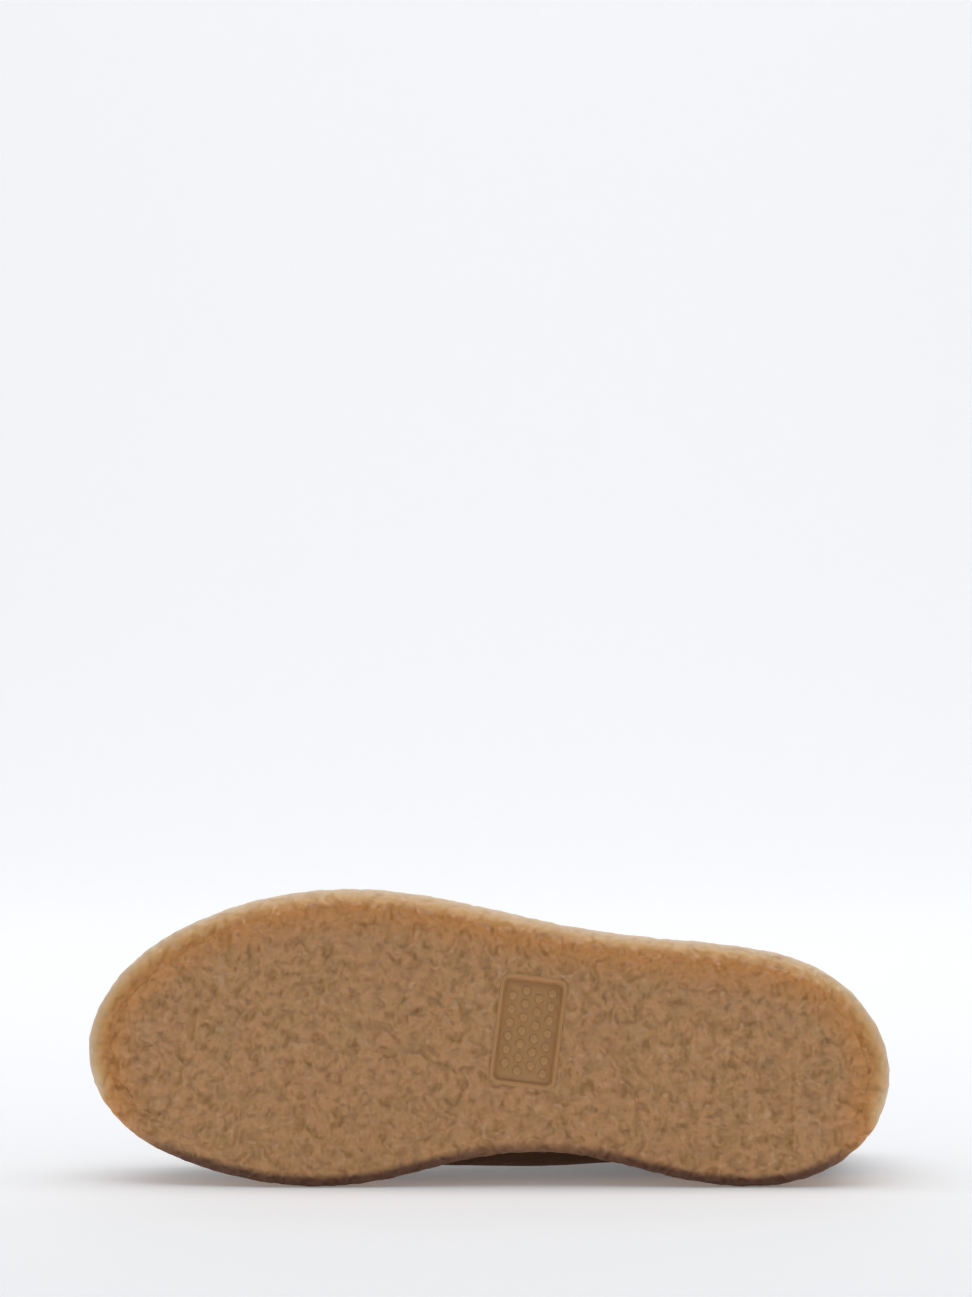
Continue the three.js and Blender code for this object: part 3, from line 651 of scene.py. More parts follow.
def grid_faces(rows, cols, closed_rows=False, closed_cols=False, start=0):
    """Quads over a grid of rows by cols vertices."""
    r = np.arange(rows if closed_rows else rows - 1)
    c = np.arange(cols if closed_cols else cols - 1)
    i, j = np.meshgrid(r, c, indexing="ij")
    i2, j2 = (i + 1) % rows, (j + 1) % cols
    quads = np.stack([i * cols + j, i2 * cols + j, i2 * cols + j2, i * cols + j2], -1)
    return (quads.reshape(-1, 4) + start).tolist()


def tube_faces(rows, cols, start=0):
    """Faces of a ring of cols points swept over rows, closed at both ends."""
    faces = grid_faces(rows, cols, closed_cols=True, start=start)
    for end in (start, start + (rows - 1) * cols):
        for k in range(cols // 2):
            strip = [end + k, end + k + 1, end + cols - k - 2, end + cols - k - 1]
            strip = list(dict.fromkeys(strip))
            if len(strip) > 2:
                faces.append(strip if end == start else strip[::-1])
    return faces


def folded(rings):
    """Closes the first and last ring of a loop of rays on the line inside it, side to side."""
    n = rings.shape[1]
    back = (n - np.arange(n)) % n
    for end in (0, -1):
        rings[end] = (rings[end] + rings[end][back]) / 2
    return rings


def loop_ways(n):
    return [2 * i / n if 2 * i <= n else 2 * i / n - 2 for i in range(n)]


def in_row(points):
    """Points of the shoe frame in the row frame."""
    m = np.array(shoe_matrix())
    return np.asarray(points) @ m[:3, :3].T + m[:3, 3]


def plain_mesh(name, points, edges=(), faces=()):
    mesh = bpy.data.meshes.new(name)
    mesh.from_pydata(np.asarray(points).tolist(), edges, faces)
    mesh.update()
    return mesh


def make_mesh(name, points, faces, materials=(), slots=None, attributes=None, weld=False):
    """A smooth mesh in the row frame, with its faces turned out."""
    mesh = plain_mesh(name, in_row(points), [], faces)
    mesh.validate()
    for key, values in (attributes or {}).items():
        layer = mesh.attributes.new(key, "FLOAT", "POINT")
        layer.data.foreach_set("value", np.asarray(values, np.float32))
    for material in materials:
        mesh.materials.append(material)
    if slots is not None:
        mesh.polygons.foreach_set("material_index", np.asarray(slots, np.int32))
    if weld:
        work = bmesh.new()
        work.from_mesh(mesh)
        bmesh.ops.remove_doubles(work, verts=work.verts, dist=1e-6)
        work.to_mesh(mesh)
        work.free()
    mesh.shade_smooth()
    return turn_out(mesh)


def turn_out(mesh):
    """Flips a closed mesh that is inside out."""
    mesh.calc_loop_triangles()
    tris = np.zeros(len(mesh.loop_triangles) * 3, np.int32)
    mesh.loop_triangles.foreach_get("vertices", tris)
    co = np.zeros(len(mesh.vertices) * 3)
    mesh.vertices.foreach_get("co", co)
    a, b, c = (co.reshape(-1, 3)[tris.reshape(-1, 3)[:, k]] for k in range(3))
    if np.einsum("ij,ij->", a, np.cross(b, c)) < 0:
        mesh.flip_normals()
    return mesh


def put(name, data):
    """A new object in the scene."""
    obj = bpy.data.objects.new(name, data)
    bpy.context.scene.collection.objects.link(obj)
    return obj


def adopt(mesh, slot_name, *nodes):
    """Puts a mesh in the scene as a piece that rides on the shoe and stands for CAD nodes."""
    obj = put(mesh.name, mesh)
    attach(obj, "root")
    if nodes:
        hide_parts(*nodes)
    return obj


def evaluated(mesh, add_modifier):
    """A plain copy of a mesh with one modifier applied."""
    obj = put("work", mesh)
    add_modifier(obj)
    depsgraph = bpy.context.evaluated_depsgraph_get()
    made = bpy.data.meshes.new_from_object(obj.evaluated_get(depsgraph))
    name = mesh.name
    bpy.data.objects.remove(obj)
    bpy.data.meshes.remove(mesh)
    made.name = name
    return made


def bored(mesh):
    """Cuts the eyelet holes through a layer of the upper."""
    t = sizes("trim")
    radius, sides, points, faces = t.eyelet_bore + HOLE_ROOM, 32, [], []
    for side in (1, -1):
        for row in range(t.eyelet_rows):
            _, _, at, out = shoe().eyelet_seat(side, row)
            across = np.cross(out, (0, 1, 0))
            across /= np.linalg.norm(across)
            other = np.cross(out, across)
            for lift in (-HOLE_DEPTH, HOLE_DEPTH):
                for a in np.arange(sides) * 2 * math.pi / sides:
                    round_it = across * math.cos(a) + other * math.sin(a)
                    points.append(at + out * lift + round_it * radius)
            start = len(points) - 2 * sides
            faces += grid_faces(2, sides, closed_cols=True, start=start)
            faces.append(list(range(start, start + sides))[::-1])
            faces.append(list(range(start + sides, start + 2 * sides)))
    cutter = put("holes", make_mesh("holes", points, faces))

    def cut(obj):
        modifier = obj.modifiers.new("holes", "BOOLEAN")
        modifier.operation, modifier.solver, modifier.object = "DIFFERENCE", "EXACT", cutter

    made = evaluated(mesh, cut)
    bpy.data.meshes.remove(cutter.data)
    return made


# Nodes


def node(tree, kind, inputs=(), out=0, **settings):
    """Adds a node with its settings and its inputs, by place or name, and gives its output."""
    made = tree.nodes.new(kind)
    for key, value in settings.items():
        setattr(made, key, value)
    for key, value in inputs.items() if isinstance(inputs, dict) else enumerate(inputs):
        if isinstance(value, bpy.types.NodeSocket):
            tree.links.new(value, made.inputs[key])
        else:
            made.inputs[key].default_value = value
    return made.outputs if out is None else made.outputs[out]


REPEAT_INPUTS = {
    "Geometry": "Geometry",
    "Shape": "Object",
    "Pitch": "Float",
    "Material": "Material",
}


def repeat_group(name, on_curve):
    """A node group that sets a shape along a line, or on points with an outward direction."""
    group = bpy.data.node_groups.new(name, "GeometryNodeTree")
    for key, holds in REPEAT_INPUTS.items():
        group.interface.new_socket(key, in_out="INPUT", socket_type="NodeSocket" + holds)
    group.interface.new_socket("Geometry", in_out="OUTPUT", socket_type="NodeSocketGeometry")
    add = partial(node, group)
    entry = add("NodeGroupInput", out=None)
    shape = add("GeometryNodeObjectInfo", {"Object": entry["Shape"]}, "Geometry")
    if on_curve:
        line = add("GeometryNodeMeshToCurve", {"Mesh": entry["Geometry"]})
        steps = {"Curve": line, "Length": entry["Pitch"]}
        points = add("GeometryNodeResampleCurve", steps, mode="LENGTH")
        way = add("GeometryNodeInputTangent")
    else:
        points = add("GeometryNodeMeshToPoints", {"Mesh": entry["Geometry"]})
        kind = "GeometryNodeInputNamedAttribute"
        way = add(kind, {"Name": "out"}, "Attribute", data_type="FLOAT_VECTOR")
    axis = "X" if on_curve else "Z"
    turn = add("FunctionNodeAlignRotationToVector", {"Vector": way}, axis=axis)
    where = {"Points": points, "Instance": shape, "Rotation": turn}
    placed = add("GeometryNodeInstanceOnPoints", where)
    real = add("GeometryNodeRealizeInstances", {"Geometry": placed})
    painted = add("GeometryNodeSetMaterial", {"Geometry": real, "Material": entry["Material"]})
    add("NodeGroupOutput", {"Geometry": painted}, None)
    return group


def repeated(name, group, mesh, shape, pitch, material):
    """A plain mesh of a shape repeated over a line or points mesh by a node group."""
    source = put("shape", shape)
    mesh.name = name

    def grow(obj):
        modifier = obj.modifiers.new("repeat", "NODES")
        modifier.node_group = group
        values = {"Shape": source, "Pitch": pitch, "Material": material}
        for item in group.interface.items_tree:
            if item.in_out == "INPUT" and item.name in values:
                modifier[item.identifier] = values[item.name]

    made = evaluated(mesh, grow)
    bpy.data.meshes.remove(shape)
    made.shade_smooth()
    return made


def revolved(name, profile, sides, stretch=1.0):
    """A small shape turned about +Z from rows of radius and height, stretched along +X."""
    angles = np.arange(sides) * 2 * math.pi / sides
    points = [(r * math.cos(a) * stretch, r * math.sin(a), z) for r, z in profile for a in angles]
    rows = len(profile)
    closed = profile[0] == profile[-1]
    if closed:
        points, rows = points[:-sides], rows - 1
    faces = grid_faces(rows, sides, closed_rows=closed, closed_cols=True)
    if not closed:
        faces.append(list(range(sides))[::-1])
        faces.append(list(range((rows - 1) * sides, rows * sides)))
    mesh = plain_mesh(name, points, [], faces)
    mesh.shade_smooth()
    return turn_out(mesh)


def line_mesh(lines):
    """Polylines in the shoe frame as a mesh of edges in the row frame."""
    points, edges = [], []
    for line in lines:
        start = len(points)
        points += list(line)
        edges += [(start + k, start + k + 1) for k in range(len(line) - 1)]
    return plain_mesh("lines", in_row(points), edges)


def point_mesh(points, outs):
    """Loose points in the shoe frame with outward directions, in the row frame."""
    mesh = plain_mesh("points", in_row(points))
    layer = mesh.attributes.new("out", "FLOAT_VECTOR", "POINT")
    turned = in_row(np.asarray(points) + np.asarray(outs)) - in_row(points)
    layer.data.foreach_set("vector", turned.astype(np.float32).ravel())
    return mesh


# Materials

# A finish's short name: the material's name and the function that gives its shader's inputs
FINISHES = {}


def finish(key, name):
    """Keeps a function that gives the inputs of a principled shader, for a named material."""

    def keep(build):
        FINISHES[key] = (name, build)
        return build

    return keep


def look(key):
    """The material of a finish, made once and shared."""
    name, build = FINISHES[key]
    if name not in bpy.data.materials:
        mat = bpy.data.materials.new(name)
        mat.use_nodes = True
        mat.node_tree.nodes.clear()
        add = partial(node, mat.node_tree)
        shader = add("ShaderNodeBsdfPrincipled", build(add, sizes("colours")))
        add("ShaderNodeOutputMaterial", (shader,), None)
    return bpy.data.materials[name]


def shade(value, factor):
    """A colour made darker or lighter."""
    return [part * factor for part in value[:3]] + [1.0]


def grain(add, at, mm, detail, rough=0.55):
    """Noise with lumps about so many millimetres wide."""
    inputs = {"Vector": at, "Scale": 1000 / mm, "Detail": detail, "Roughness": rough}
    return add("ShaderNodeTexNoise", inputs)


def surface(add, tone, tints, bumps=()):
    """The colour and normal of a shader from tints laid over a tone, and bumps over each other.

    A tint is its source, the source's range, how much of the tint shows at both ends of it, and
    the colour. A bump is its source, its strength and its depth in millimetres.
    """
    for source, low, high, least, most, tint in tints:
        amount = add("ShaderNodeMapRange", (source, low, high, least, most))
        tone = add("ShaderNodeMix", {0: amount, 6: tone, 7: tint}, 2, data_type="RGBA")
    made = {"Base Color": tone}
    for source, strength, deep in bumps:
        under = {"Normal": made["Normal"]} if "Normal" in made else {}
        height = {"Height": source, "Strength": strength, "Distance": deep / 1000}
        made["Normal"] = add("ShaderNodeBump", {**height, **under})
    return made


@finish("crepe", "milled_crepe_rubber")
def crepe(add, c):
    """Milled natural crepe rubber: amber, a little see-through and satin, with a painted glow at its thin
    rim, painted highlights on glinting specks and painted shade in its pits and under its lower edge.
    """
    at = add("ShaderNodeTexCoord", out="Object")
    height, rim, dirt = (
        add("ShaderNodeAttribute", out="Fac", attribute_name=name) for name in ("lump", "rim", "dirt")
    )
    ripple, spots, fine = grain(add, at, 3.8, 0.6, 0.4), grain(add, at, 2.6, 0.4), grain(add, at, 0.9, 1.0)
    warm, olive = grain(add, at, 26, 2.0), grain(add, at, 11, 2.0)
    tints = (
        # painted shade: the crepe darkens towards the pits of its lumps
        (height, 0.05, 0.6, 0.0, 1.0, list(c.crepe)),
        # painted shade in small pits
        (spots, 0.26, 0.35, 0.4, 0.0, srgb("8A6238")),
        # painted highlights on small specks, where the roughness also drops for real glints
        (spots, 0.66, 0.73, 0.0, 0.22, srgb("EBCBA2")),
        (warm, 0.42, 0.62, 0.0, 0.2, srgb("D0976A")),
        (olive, 0.5, 0.66, 0.0, 0.18, srgb("AC8E5C")),
        # painted glow of light through the thin rim: amber, then honey, then pale at the very edge
        (rim, 0.12, 0.62, 0.0, 0.85, srgb("DC9852")),
        (rim, 0.68, 0.86, 0.0, 0.9, srgb("E6B878")),
        (rim, 0.83, 0.99, 0.0, 0.85, list(c.crepe_rim)),
        # painted shade along the edges that face down near the floor
        (dirt, 0.0, 1.0, 0.0, 1.0, srgb("5A2F17")),
    )
    lumps = add("ShaderNodeMapRange", (spots, 0.2, 0.8, 0.0, 0.25))
    waves = add("ShaderNodeMath", (ripple, lumps), operation="ADD")
    even = add("ShaderNodeMapRange", (rim, 0.65, 0.9, 1.0, 0.35))
    waves = add("ShaderNodeMath", (waves, even), operation="MULTIPLY")
    return {
        **surface(add, list(c.crepe_dark_and_pit_shade), tints, ((waves, 1.0, 4.2), (fine, 0.15, 0.1))),
        "Roughness": add("ShaderNodeMapRange", (spots, 0.45, 0.68, 0.5, 0.3)),
        "IOR": 1.52,
        "Subsurface Weight": 0.35,
        "Subsurface Radius": (0.005, 0.0025, 0.001),
        "Subsurface Scale": 1.0,
    }


@finish("crepe_smooth", "polished_crepe_rubber")
def smooth_crepe(add, c):
    """The same rubber where the mould was polished: flat, even and a little darker."""
    at = add("ShaderNodeTexCoord", out="Object")
    wide, fine = grain(add, at, 9, 2.0), grain(add, at, 0.7, 2.0)
    tints = ((wide, 0.3, 0.7, 0.35, 0.6, list(c.crepe)),)
    return {
        **surface(add, shade(c.crepe_dark_and_pit_shade, 0.9), tints, ((fine, 0.15, 0.08),)),
        "Roughness": 0.5,
        "IOR": 1.52,
        "Subsurface Weight": 0.3,
        "Subsurface Radius": (0.004, 0.0022, 0.0009),
        "Subsurface Scale": 1.0,
    }


def split_suede(add, c, darker):
    """Split cow suede, dyed through: matt nap with brushed patches and a soft pale sheen."""
    at = add("ShaderNodeTexCoord", out="Object")
    along = add("ShaderNodeMapping", {"Vector": at, "Scale": (0.4, 1.0, 1.0)})
    patches, streaks = grain(add, along, 16, 3.0, 0.6), grain(add, along, 2.0, 4.0, 0.65)
    nap = grain(add, at, 0.55, 3.0, 0.7)
    flat, up = shade(c.suede, darker), shade(c.suede_brushed, darker)
    tints = (
        (patches, 0.36, 0.64, 0.0, 1.0, up),
        (streaks, 0.36, 0.66, 0.0, 0.5, shade(flat, 0.5)),
        (nap, 0.35, 0.7, 0.0, 0.4, shade(up, 1.5)),
    )
    return {
        **surface(add, flat, tints, ((streaks, 0.5, 0.8), (nap, 0.8, 0.5))),
        "Roughness": 0.95,
        "Specular IOR Level": 0.12,
        "Sheen Weight": 0.3,
        "Sheen Roughness": 0.4,
        "Sheen Tint": (0.75, 0.5, 0.34, 1.0),
    }


@finish("suede", "brown_split_suede")
def suede(add, c):
    return split_suede(add, c, 1.0)


@finish("trim", "dark_split_suede")
def dark_suede(add, c):
    """The same suede from a darker skin, for the second layers."""
    return split_suede(add, c, 0.86)


@finish("lining", "pigskin_lining")
def lining(add, c):
    """Vegetable-tanned pigskin lining, smooth with fine pores."""
    at = add("ShaderNodeTexCoord", out="Object")
    pores, tone = grain(add, at, 0.8, 3.0, 0.6), grain(add, at, 30, 2.0)
    tints = ((tone, 0.35, 0.65, 0.0, 1.0, shade(c.lining, 0.72)),)
    return {**surface(add, list(c.lining), tints, ((pores, 0.35, 0.12),)), "Roughness": 0.6}


@finish("lace", "waxed_cotton_lace")
def lace(add, c):
    """Flat waxed cotton lace: a fine chevron weave along its run, dull."""
    across, run = (
        add("ShaderNodeAttribute", out="Fac", attribute_name=name) for name in ("across", "run")
    )
    across = add("ShaderNodeMath", (across,), operation="ABSOLUTE")
    slant = add("ShaderNodeMath", (across, 4.2), operation="MULTIPLY")
    slant = add("ShaderNodeMath", (run, 6.3, slant), operation="MULTIPLY_ADD")
    cords = add("ShaderNodeMath", (across, 9.0), operation="MULTIPLY")
    slant, cords = (add("ShaderNodeMath", (wave,), operation="SINE") for wave in (slant, cords))
    ribs = add("ShaderNodeMapRange", (slant, -0.8, 0.8))
    cords = add("ShaderNodeMapRange", (cords, -1.0, 1.0, 0.0, 0.5))
    weave = add("ShaderNodeMath", (ribs, cords), operation="ADD")
    tints = ((weave, 0.1, 1.2, 0.0, 1.0, list(c.lace)),)
    return {
        **surface(add, shade(c.lace, 0.5), tints, ((weave, 0.6, 0.25),)),
        "Roughness": 0.9,
        "Specular IOR Level": 0.15,
    }


@finish("thread", "bonded_thread")
def thread(add, c):
    """Bonded polyester thread, twisted, with a faint gloss."""
    at = add("ShaderNodeTexCoord", out="Object")
    twist = grain(add, at, 0.3, 1.0)
    tints = ((twist, 0.35, 0.65, 0.0, 1.0, list(c.thread)),)
    return {**surface(add, shade(c.thread, 0.6), tints), "Roughness": 0.6}


@finish("metal", "burnished_bronze")
def metal(add, c):
    """Burnished bronze eyelets, brushed and a little worn."""
    at = add("ShaderNodeTexCoord", out="Object")
    worn = grain(add, at, 1.5, 3.0)
    return {
        **surface(add, list(c.metal), ((worn, 0.4, 0.7, 0.0, 1.0, srgb("8C7452")),)),
        "Metallic": 1.0,
        "Roughness": add("ShaderNodeMapRange", (worn, 0.3, 0.7, 0.28, 0.45)),
    }


@finish("floor", "white_acrylic_sweep")
def floor(add, c):
    """Seamless white acrylic sweep, matt and lit from behind, so shadows on it stay pale."""
    return {
        "Base Color": list(c.floor),
        "Roughness": 0.75,
        "Specular IOR Level": 0.25,
        "Emission Color": list(c.floor),
        "Emission Strength": 0.15,
    }


SHOE = []


def shoe():
    if not SHOE:
        SHOE.append(Shoe())
    return SHOE[0]


# Crepe

# How far in from the outline the rubber's edge gets a painted glow of light shining through it, in metres
GLOW = 0.02

# Without a seed of its own, noise_vector takes one from the clock and the lumps change every run
CREPE_SEED = 7


def crinkle(p, lump):
    """Milled crepe at points in metres: 0 in the pits to 1 on the crests."""
    q = Vector(p) / lump
    q = q + noise.noise_vector(q * 1.1 + Vector((7, 2, 1))) * 0.35
    wide = noise.noise(q * 0.85 + Vector((5, 1, 9)))
    small = noise.noise(q * 1.5 + Vector((3, 3, 9)))
    pit = max(0.0, noise.noise(q * 1.15 + Vector((3, 23, 8))) - 0.2)
    line = max(0.0, 1 - abs(noise.noise(q * 0.9 + Vector((13, 3, 5)))) / 0.14)
    crest = line * max(0.0, min(1.0, 2 * noise.noise(q * 0.6 + Vector((1, 6, 2)))))
    height = 0.5 + 0.72 * wide + 0.28 * small - 0.9 * pit + 0.22 * crest
    return max(0.0, min(1.0, height))


def patch_axes():
    """The patch's middle and its two directions on the tread, in the shoe frame."""
    s = sizes("sole")
    turn = math.pi / 2 + s.patch_turn
    middle = np.array((s.patch_across * s.ball_width, s.patch_along * s.sole_length))
    u = np.array((math.cos(turn), math.sin(turn)))
    return middle, u, np.array((-u[1], u[0]))


def patch_distance(x, y):
    """How far a spot lies outside the patch's rounded outline; negative inside."""
    s = sizes("sole")
    middle, u, v = patch_axes()
    dx, dy = x - middle[0], y - middle[1]
    du = np.abs(dx * u[0] + dy * u[1]) - s.patch_width / 2 + s.patch_corner
    dv = np.abs(dx * v[0] + dy * v[1]) - s.patch_length / 2 + s.patch_corner
    outside = np.hypot(np.maximum(du, 0), np.maximum(dv, 0))
    return outside + np.minimum(np.maximum(du, dv), 0) - s.patch_corner


class SNEAKER_OT_sole(bpy.types.Operator):
    """The crepe sole: crinkled tread and side wall, smooth rim and a bed for the patch"""

    bl_idname = "sneaker.sole"
    bl_label = "Build crepe sole"

    def execute(self, context):
        noise.seed_set(CREPE_SEED)
        s, sh = sizes("sole"), shoe()
        n, flat = 840, 62
        ways = np.array(loop_ways(n))
        along = sh.edge(ways)[4]
        low, high = sh.tread(along), sh.platform(along) + s.rim_height
        cx, cy = sh.sole_middle(ways)
        ex, ey, *_ = sh.edge(ways, -s.shoulder)
        rings, glow_amounts, roughs = [], [], []

        # each ring's rim value is how much painted glow of light through the edge it gets; rough is how
        # much crinkle it carries
        def ring(out, z, rim, rough):
            x, y, *_ = sh.edge(ways, out)
            rings.append(np.stack([x, y, z * np.ones(n)], -1))
            glow_amounts.append(rim * np.ones(n))
            roughs.append(rough * np.ones(n))

        # the tread, from its middle line out to the shoulder
        for k in range(flat):
            part = (k / flat) ** 0.9
            x, y = cx + (ex - cx) * part, cy + (ey - cy) * part
            rings.append(np.stack([x, y, sh.tread(np.clip(y / s.sole_length, 0, 1))], -1))
            away = s.shoulder + np.hypot(ex - x, ey - y)
            glow_amounts.append(np.maximum(0, 1 - away / GLOW))
            roughs.append(smooth((patch_distance(x, y) - 0.0006) / 0.0016))
        # the rounded lower edge, the side wall and the rim's rounded top
        for k in range(17):
            a = k / 16 * math.pi / 2
            out = s.shoulder * (math.sin(a) - 1)
            rough = 1 - 0.5 * smooth((a - 0.3) / 1.1)
            ring(out, low + s.tread_round * (1 - math.cos(a)), 1 + out / GLOW, rough)
        for k in range(1, 22):
            t = k / 21
            z = low + s.tread_round + (high - s.rim_round - low - s.tread_round) * t
            top = max(0, t - 0.8) / 0.2
            rough = 0.5 + 0.3 * smooth(t / 0.25) - 0.7 * top
            ring(-s.wall_draft * t, z, 1 - 0.95 * smooth(t / 0.35) + 0.15 * top, rough)
        for k in range(1, 5):
            a = k / 4 * math.pi / 2
            out = -s.wall_draft - s.rim_round * (1 - math.cos(a))
            ring(out, high - s.rim_round * (1 - math.sin(a)), 0.25, 0.1)
        # over the rim, down its inside and across the bed
        ring(0.0004 - s.rim_width, high, 0.25, 0.1)
        ring(-s.rim_width, high - 0.0004, 0.25, 0.0)
        ring(-s.rim_width, sh.platform(along), 0.0, 0.0)
        bx, by, *_ = sh.edge(ways, -s.rim_width)
        for part in (0.7, 0.35, 0.0):
            x, y = cx + (bx - cx) * part, cy + (by - cy) * part
            rings.append(np.stack([x, y, sh.platform(y / s.sole_length)], -1))
            glow_amounts.append(np.zeros(n))
            roughs.append(np.zeros(n))

        p, rim, rough = np.array(rings), np.array(glow_amounts), np.array(roughs)
        normal = np.cross(np.roll(p, -1, 1) - np.roll(p, 1, 1), np.gradient(p, axis=0))
        normal /= np.maximum(np.linalg.norm(normal, axis=-1, keepdims=True), 1e-12)
        if normal[flat // 2, 0, 2] > 0:
            normal = -normal
        # the crepe's lumps, painted shade on the edges that face down close to the floor, the painted glow
        # kept off them, and the bed of the patch
        lumps = np.ones(rough.shape)
        for i, j in zip(*np.nonzero(rough > 0.01)):
            lumps[i, j] = crinkle(p[i, j], s.lump)
        _, _, nx, ny, _ = sh.edge(ways)
        up = np.array(shoe_matrix())[2, :2] @ (nx, ny)
        floor = in_row(p.reshape(-1, 3))[:, 2].reshape(rim.shape)
        # Painted shade: edges that face down and lie within about two centimetres of the floor in this
        # pose are darkened, standing in for the shade the floor leaves there
        under = smooth((-0.62 - up) / 0.3) * (1 - smooth((floor - 0.008) / 0.012))
        dirt = 0.92 * under * smooth((rim - 0.77) / 0.14)
        # the painted glow fades away on edges that face down, away from the light above
        rim = rim * smooth((up + 1.1) / 0.75)
        tread = patch_distance(p[:flat, :, 0], p[:flat, :, 1])
        p = p - normal * (s.crinkle * rough * (1 - lumps))[..., None]
        p[:flat, :, 2] += smooth((0.0009 - tread) / 0.0007) * (s.patch_depth + 0.0012)
        mesh = make_mesh(
            "crepe_sole_fine",
            folded(p).reshape(-1, 3),
            grid_faces(len(p), n, closed_cols=True),
            [look("crepe")],
            attributes={
                "lump": (lumps * rough + 0.55 * (1 - rough)).ravel(),
                "rim": rim.ravel(),
                "dirt": dirt.ravel(),
            },
            weld=True,
        )
        adopt(mesh, "crepe_rubber", "crepe_sole")
        return {"FINISHED"}


class SNEAKER_OT_patch(bpy.types.Operator):
    """The smooth patch in the waist: a raised border, a sunk floor and rows of small studs"""

    bl_idname = "sneaker.patch"
    bl_label = "Build waist patch"

    def execute(self, context):
        s, t = sizes("sole"), sizes("trim")
        middle, u, v = patch_axes()
        deep = s.patch_depth

        def outline(out, z):
            """The patch's outline moved out, at a height over the tread."""
            points = []
            for turn, corner in enumerate(((1, 1), (-1, 1), (-1, -1), (1, -1))):
                cu = corner[0] * (s.patch_width / 2 - s.patch_corner)
                cv = corner[1] * (s.patch_length / 2 - s.patch_corner)
                radius = max(s.patch_corner + out, 0.0001)
                shrink = min(0, s.patch_corner + out - 0.0001)
                for k in range(10):
                    a = (turn + k / 9) * math.pi / 2
                    at = middle + u * (cu + corner[0] * shrink + radius * math.cos(a))
                    at = at + v * (cv + corner[1] * shrink + radius * math.sin(a))
                    points.append((*at, z))
            return points

        profile = [(0.0012, deep + 0.0014), (0.0015, deep)]
        profile += [(0.0014, 0.0002), (0.0012, -0.00012), (0.0009, -0.0002), (0.0005, -0.0002)]
        profile += [(0.0002, -0.00008), (0.0, 0.0002), (-0.0002, deep - 0.0003)]
        profile += [(-0.0004, deep + 0.0004), (-0.0009, deep + 0.0004), (-0.0014, deep)]
        profile += [(-0.004, deep), (-0.0095, deep)]
        rings = np.array([outline(*row) for row in profile])
        mesh = make_mesh(
            "waist_patch",
            rings.reshape(-1, 3),
            tube_faces(*rings.shape[:2]),
            [look("crepe_smooth")],
        )
        adopt(mesh, "crepe_rubber")

        columns, rows, spots = 4, 7, []
        for i in range(columns):
            for j in range(rows - i % 2):
                du = (i - (columns - 1) / 2) * t.stud_pitch * 0.97
                dv = (j - (rows - 1 - i % 2) / 2) * t.stud_pitch
                spots.append((*(middle + u * du + v * dv), deep))
        r = t.stud_radius
        dome = [(r * 1.04, -0.0001), (r, 0.0003), (r * 0.9, 0.00062)]
        dome += [(r * 0.7, 0.00082), (r * 0.4, 0.00094), (r * 0.05, 0.00098)]
        studs = repeated(
            "patch_studs",
            repeat_group("studs_on_points", False),
            point_mesh(spots, [(0, 0, -1)] * len(spots)),
            revolved("stud", dome, 20),
            0.0,
            look("crepe_smooth"),
        )
        adopt(studs, "crepe_rubber")
        return {"FINISHED"}


class SNEAKER_OT_upper(bpy.types.Operator):
    """The hollow suede upper with its lining, its rounded edges and its eyelet holes"""

    bl_idname = "sneaker.upper"
    bl_label = "Build upper"

    def execute(self, context):
        sh, n = shoe(), 440
        foot_rows, rows, lip, inner = 3, 54, 10, 26
        rings = []
        for way in loop_ways(n):
            opened, rim = sh.open_at(way), sh.rim_clear(way)
            half = float(sh.wall_at(way, 1.0)) / 2
            end = opened - half
            back = float(smooth((abs(way) - 0.52) / 0.08))
            s = np.r_[np.linspace(0, rim, foot_rows)[:-1], np.linspace(rim, end, rows)]
            channel = np.exp(-(((opened - s - COLLAR_SEAM) / 0.0012) ** 2))
            lift = -0.0007 * back * channel
            a = np.linspace(0, math.pi, lip)[1:-1]
            down = np.linspace(end, 0, inner)
            part = np.clip((down - rim) / (opened - rim), 0, 1)
            lengths = np.r_[s, end + half * np.sin(a), down]
            lifts = np.r_[lift, -half * (1 - np.cos(a)), -sh.wall_at(way, part)]
            rings.append(sh.skin(way, lengths, lifts))
        p = np.array(rings)
        cols = p.shape[1]
        suede_cols = foot_rows + rows + lip - 6
        slots = [0 if j < suede_cols else 1 for _ in range(n) for j in range(cols)]
        mesh = make_mesh(
            "suede_upper",
            p.reshape(-1, 3),
            grid_faces(n, cols, closed_rows=True, closed_cols=True),
            [look("suede"), look("lining")],
            slots,
        )
        adopt(bored(mesh), "suede", "upper")
        return {"FINISHED"}


def layer_lengths(low, high):
    """Lengths across a second layer, close together at its edges."""
    near = np.array((0, 0.12, 0.35, 0.7, 1.1, 1.6, 2.0, 2.4, 2.8, 3.3, 4.0)) / 1000
    width = high - low
    near = near * min(1.0, width * 0.45 / near[-1])
    inner = np.linspace(near[-1], width - near[-1], 22)[1:-1]
    return low + np.r_[near, inner, (width - near)[::-1]]


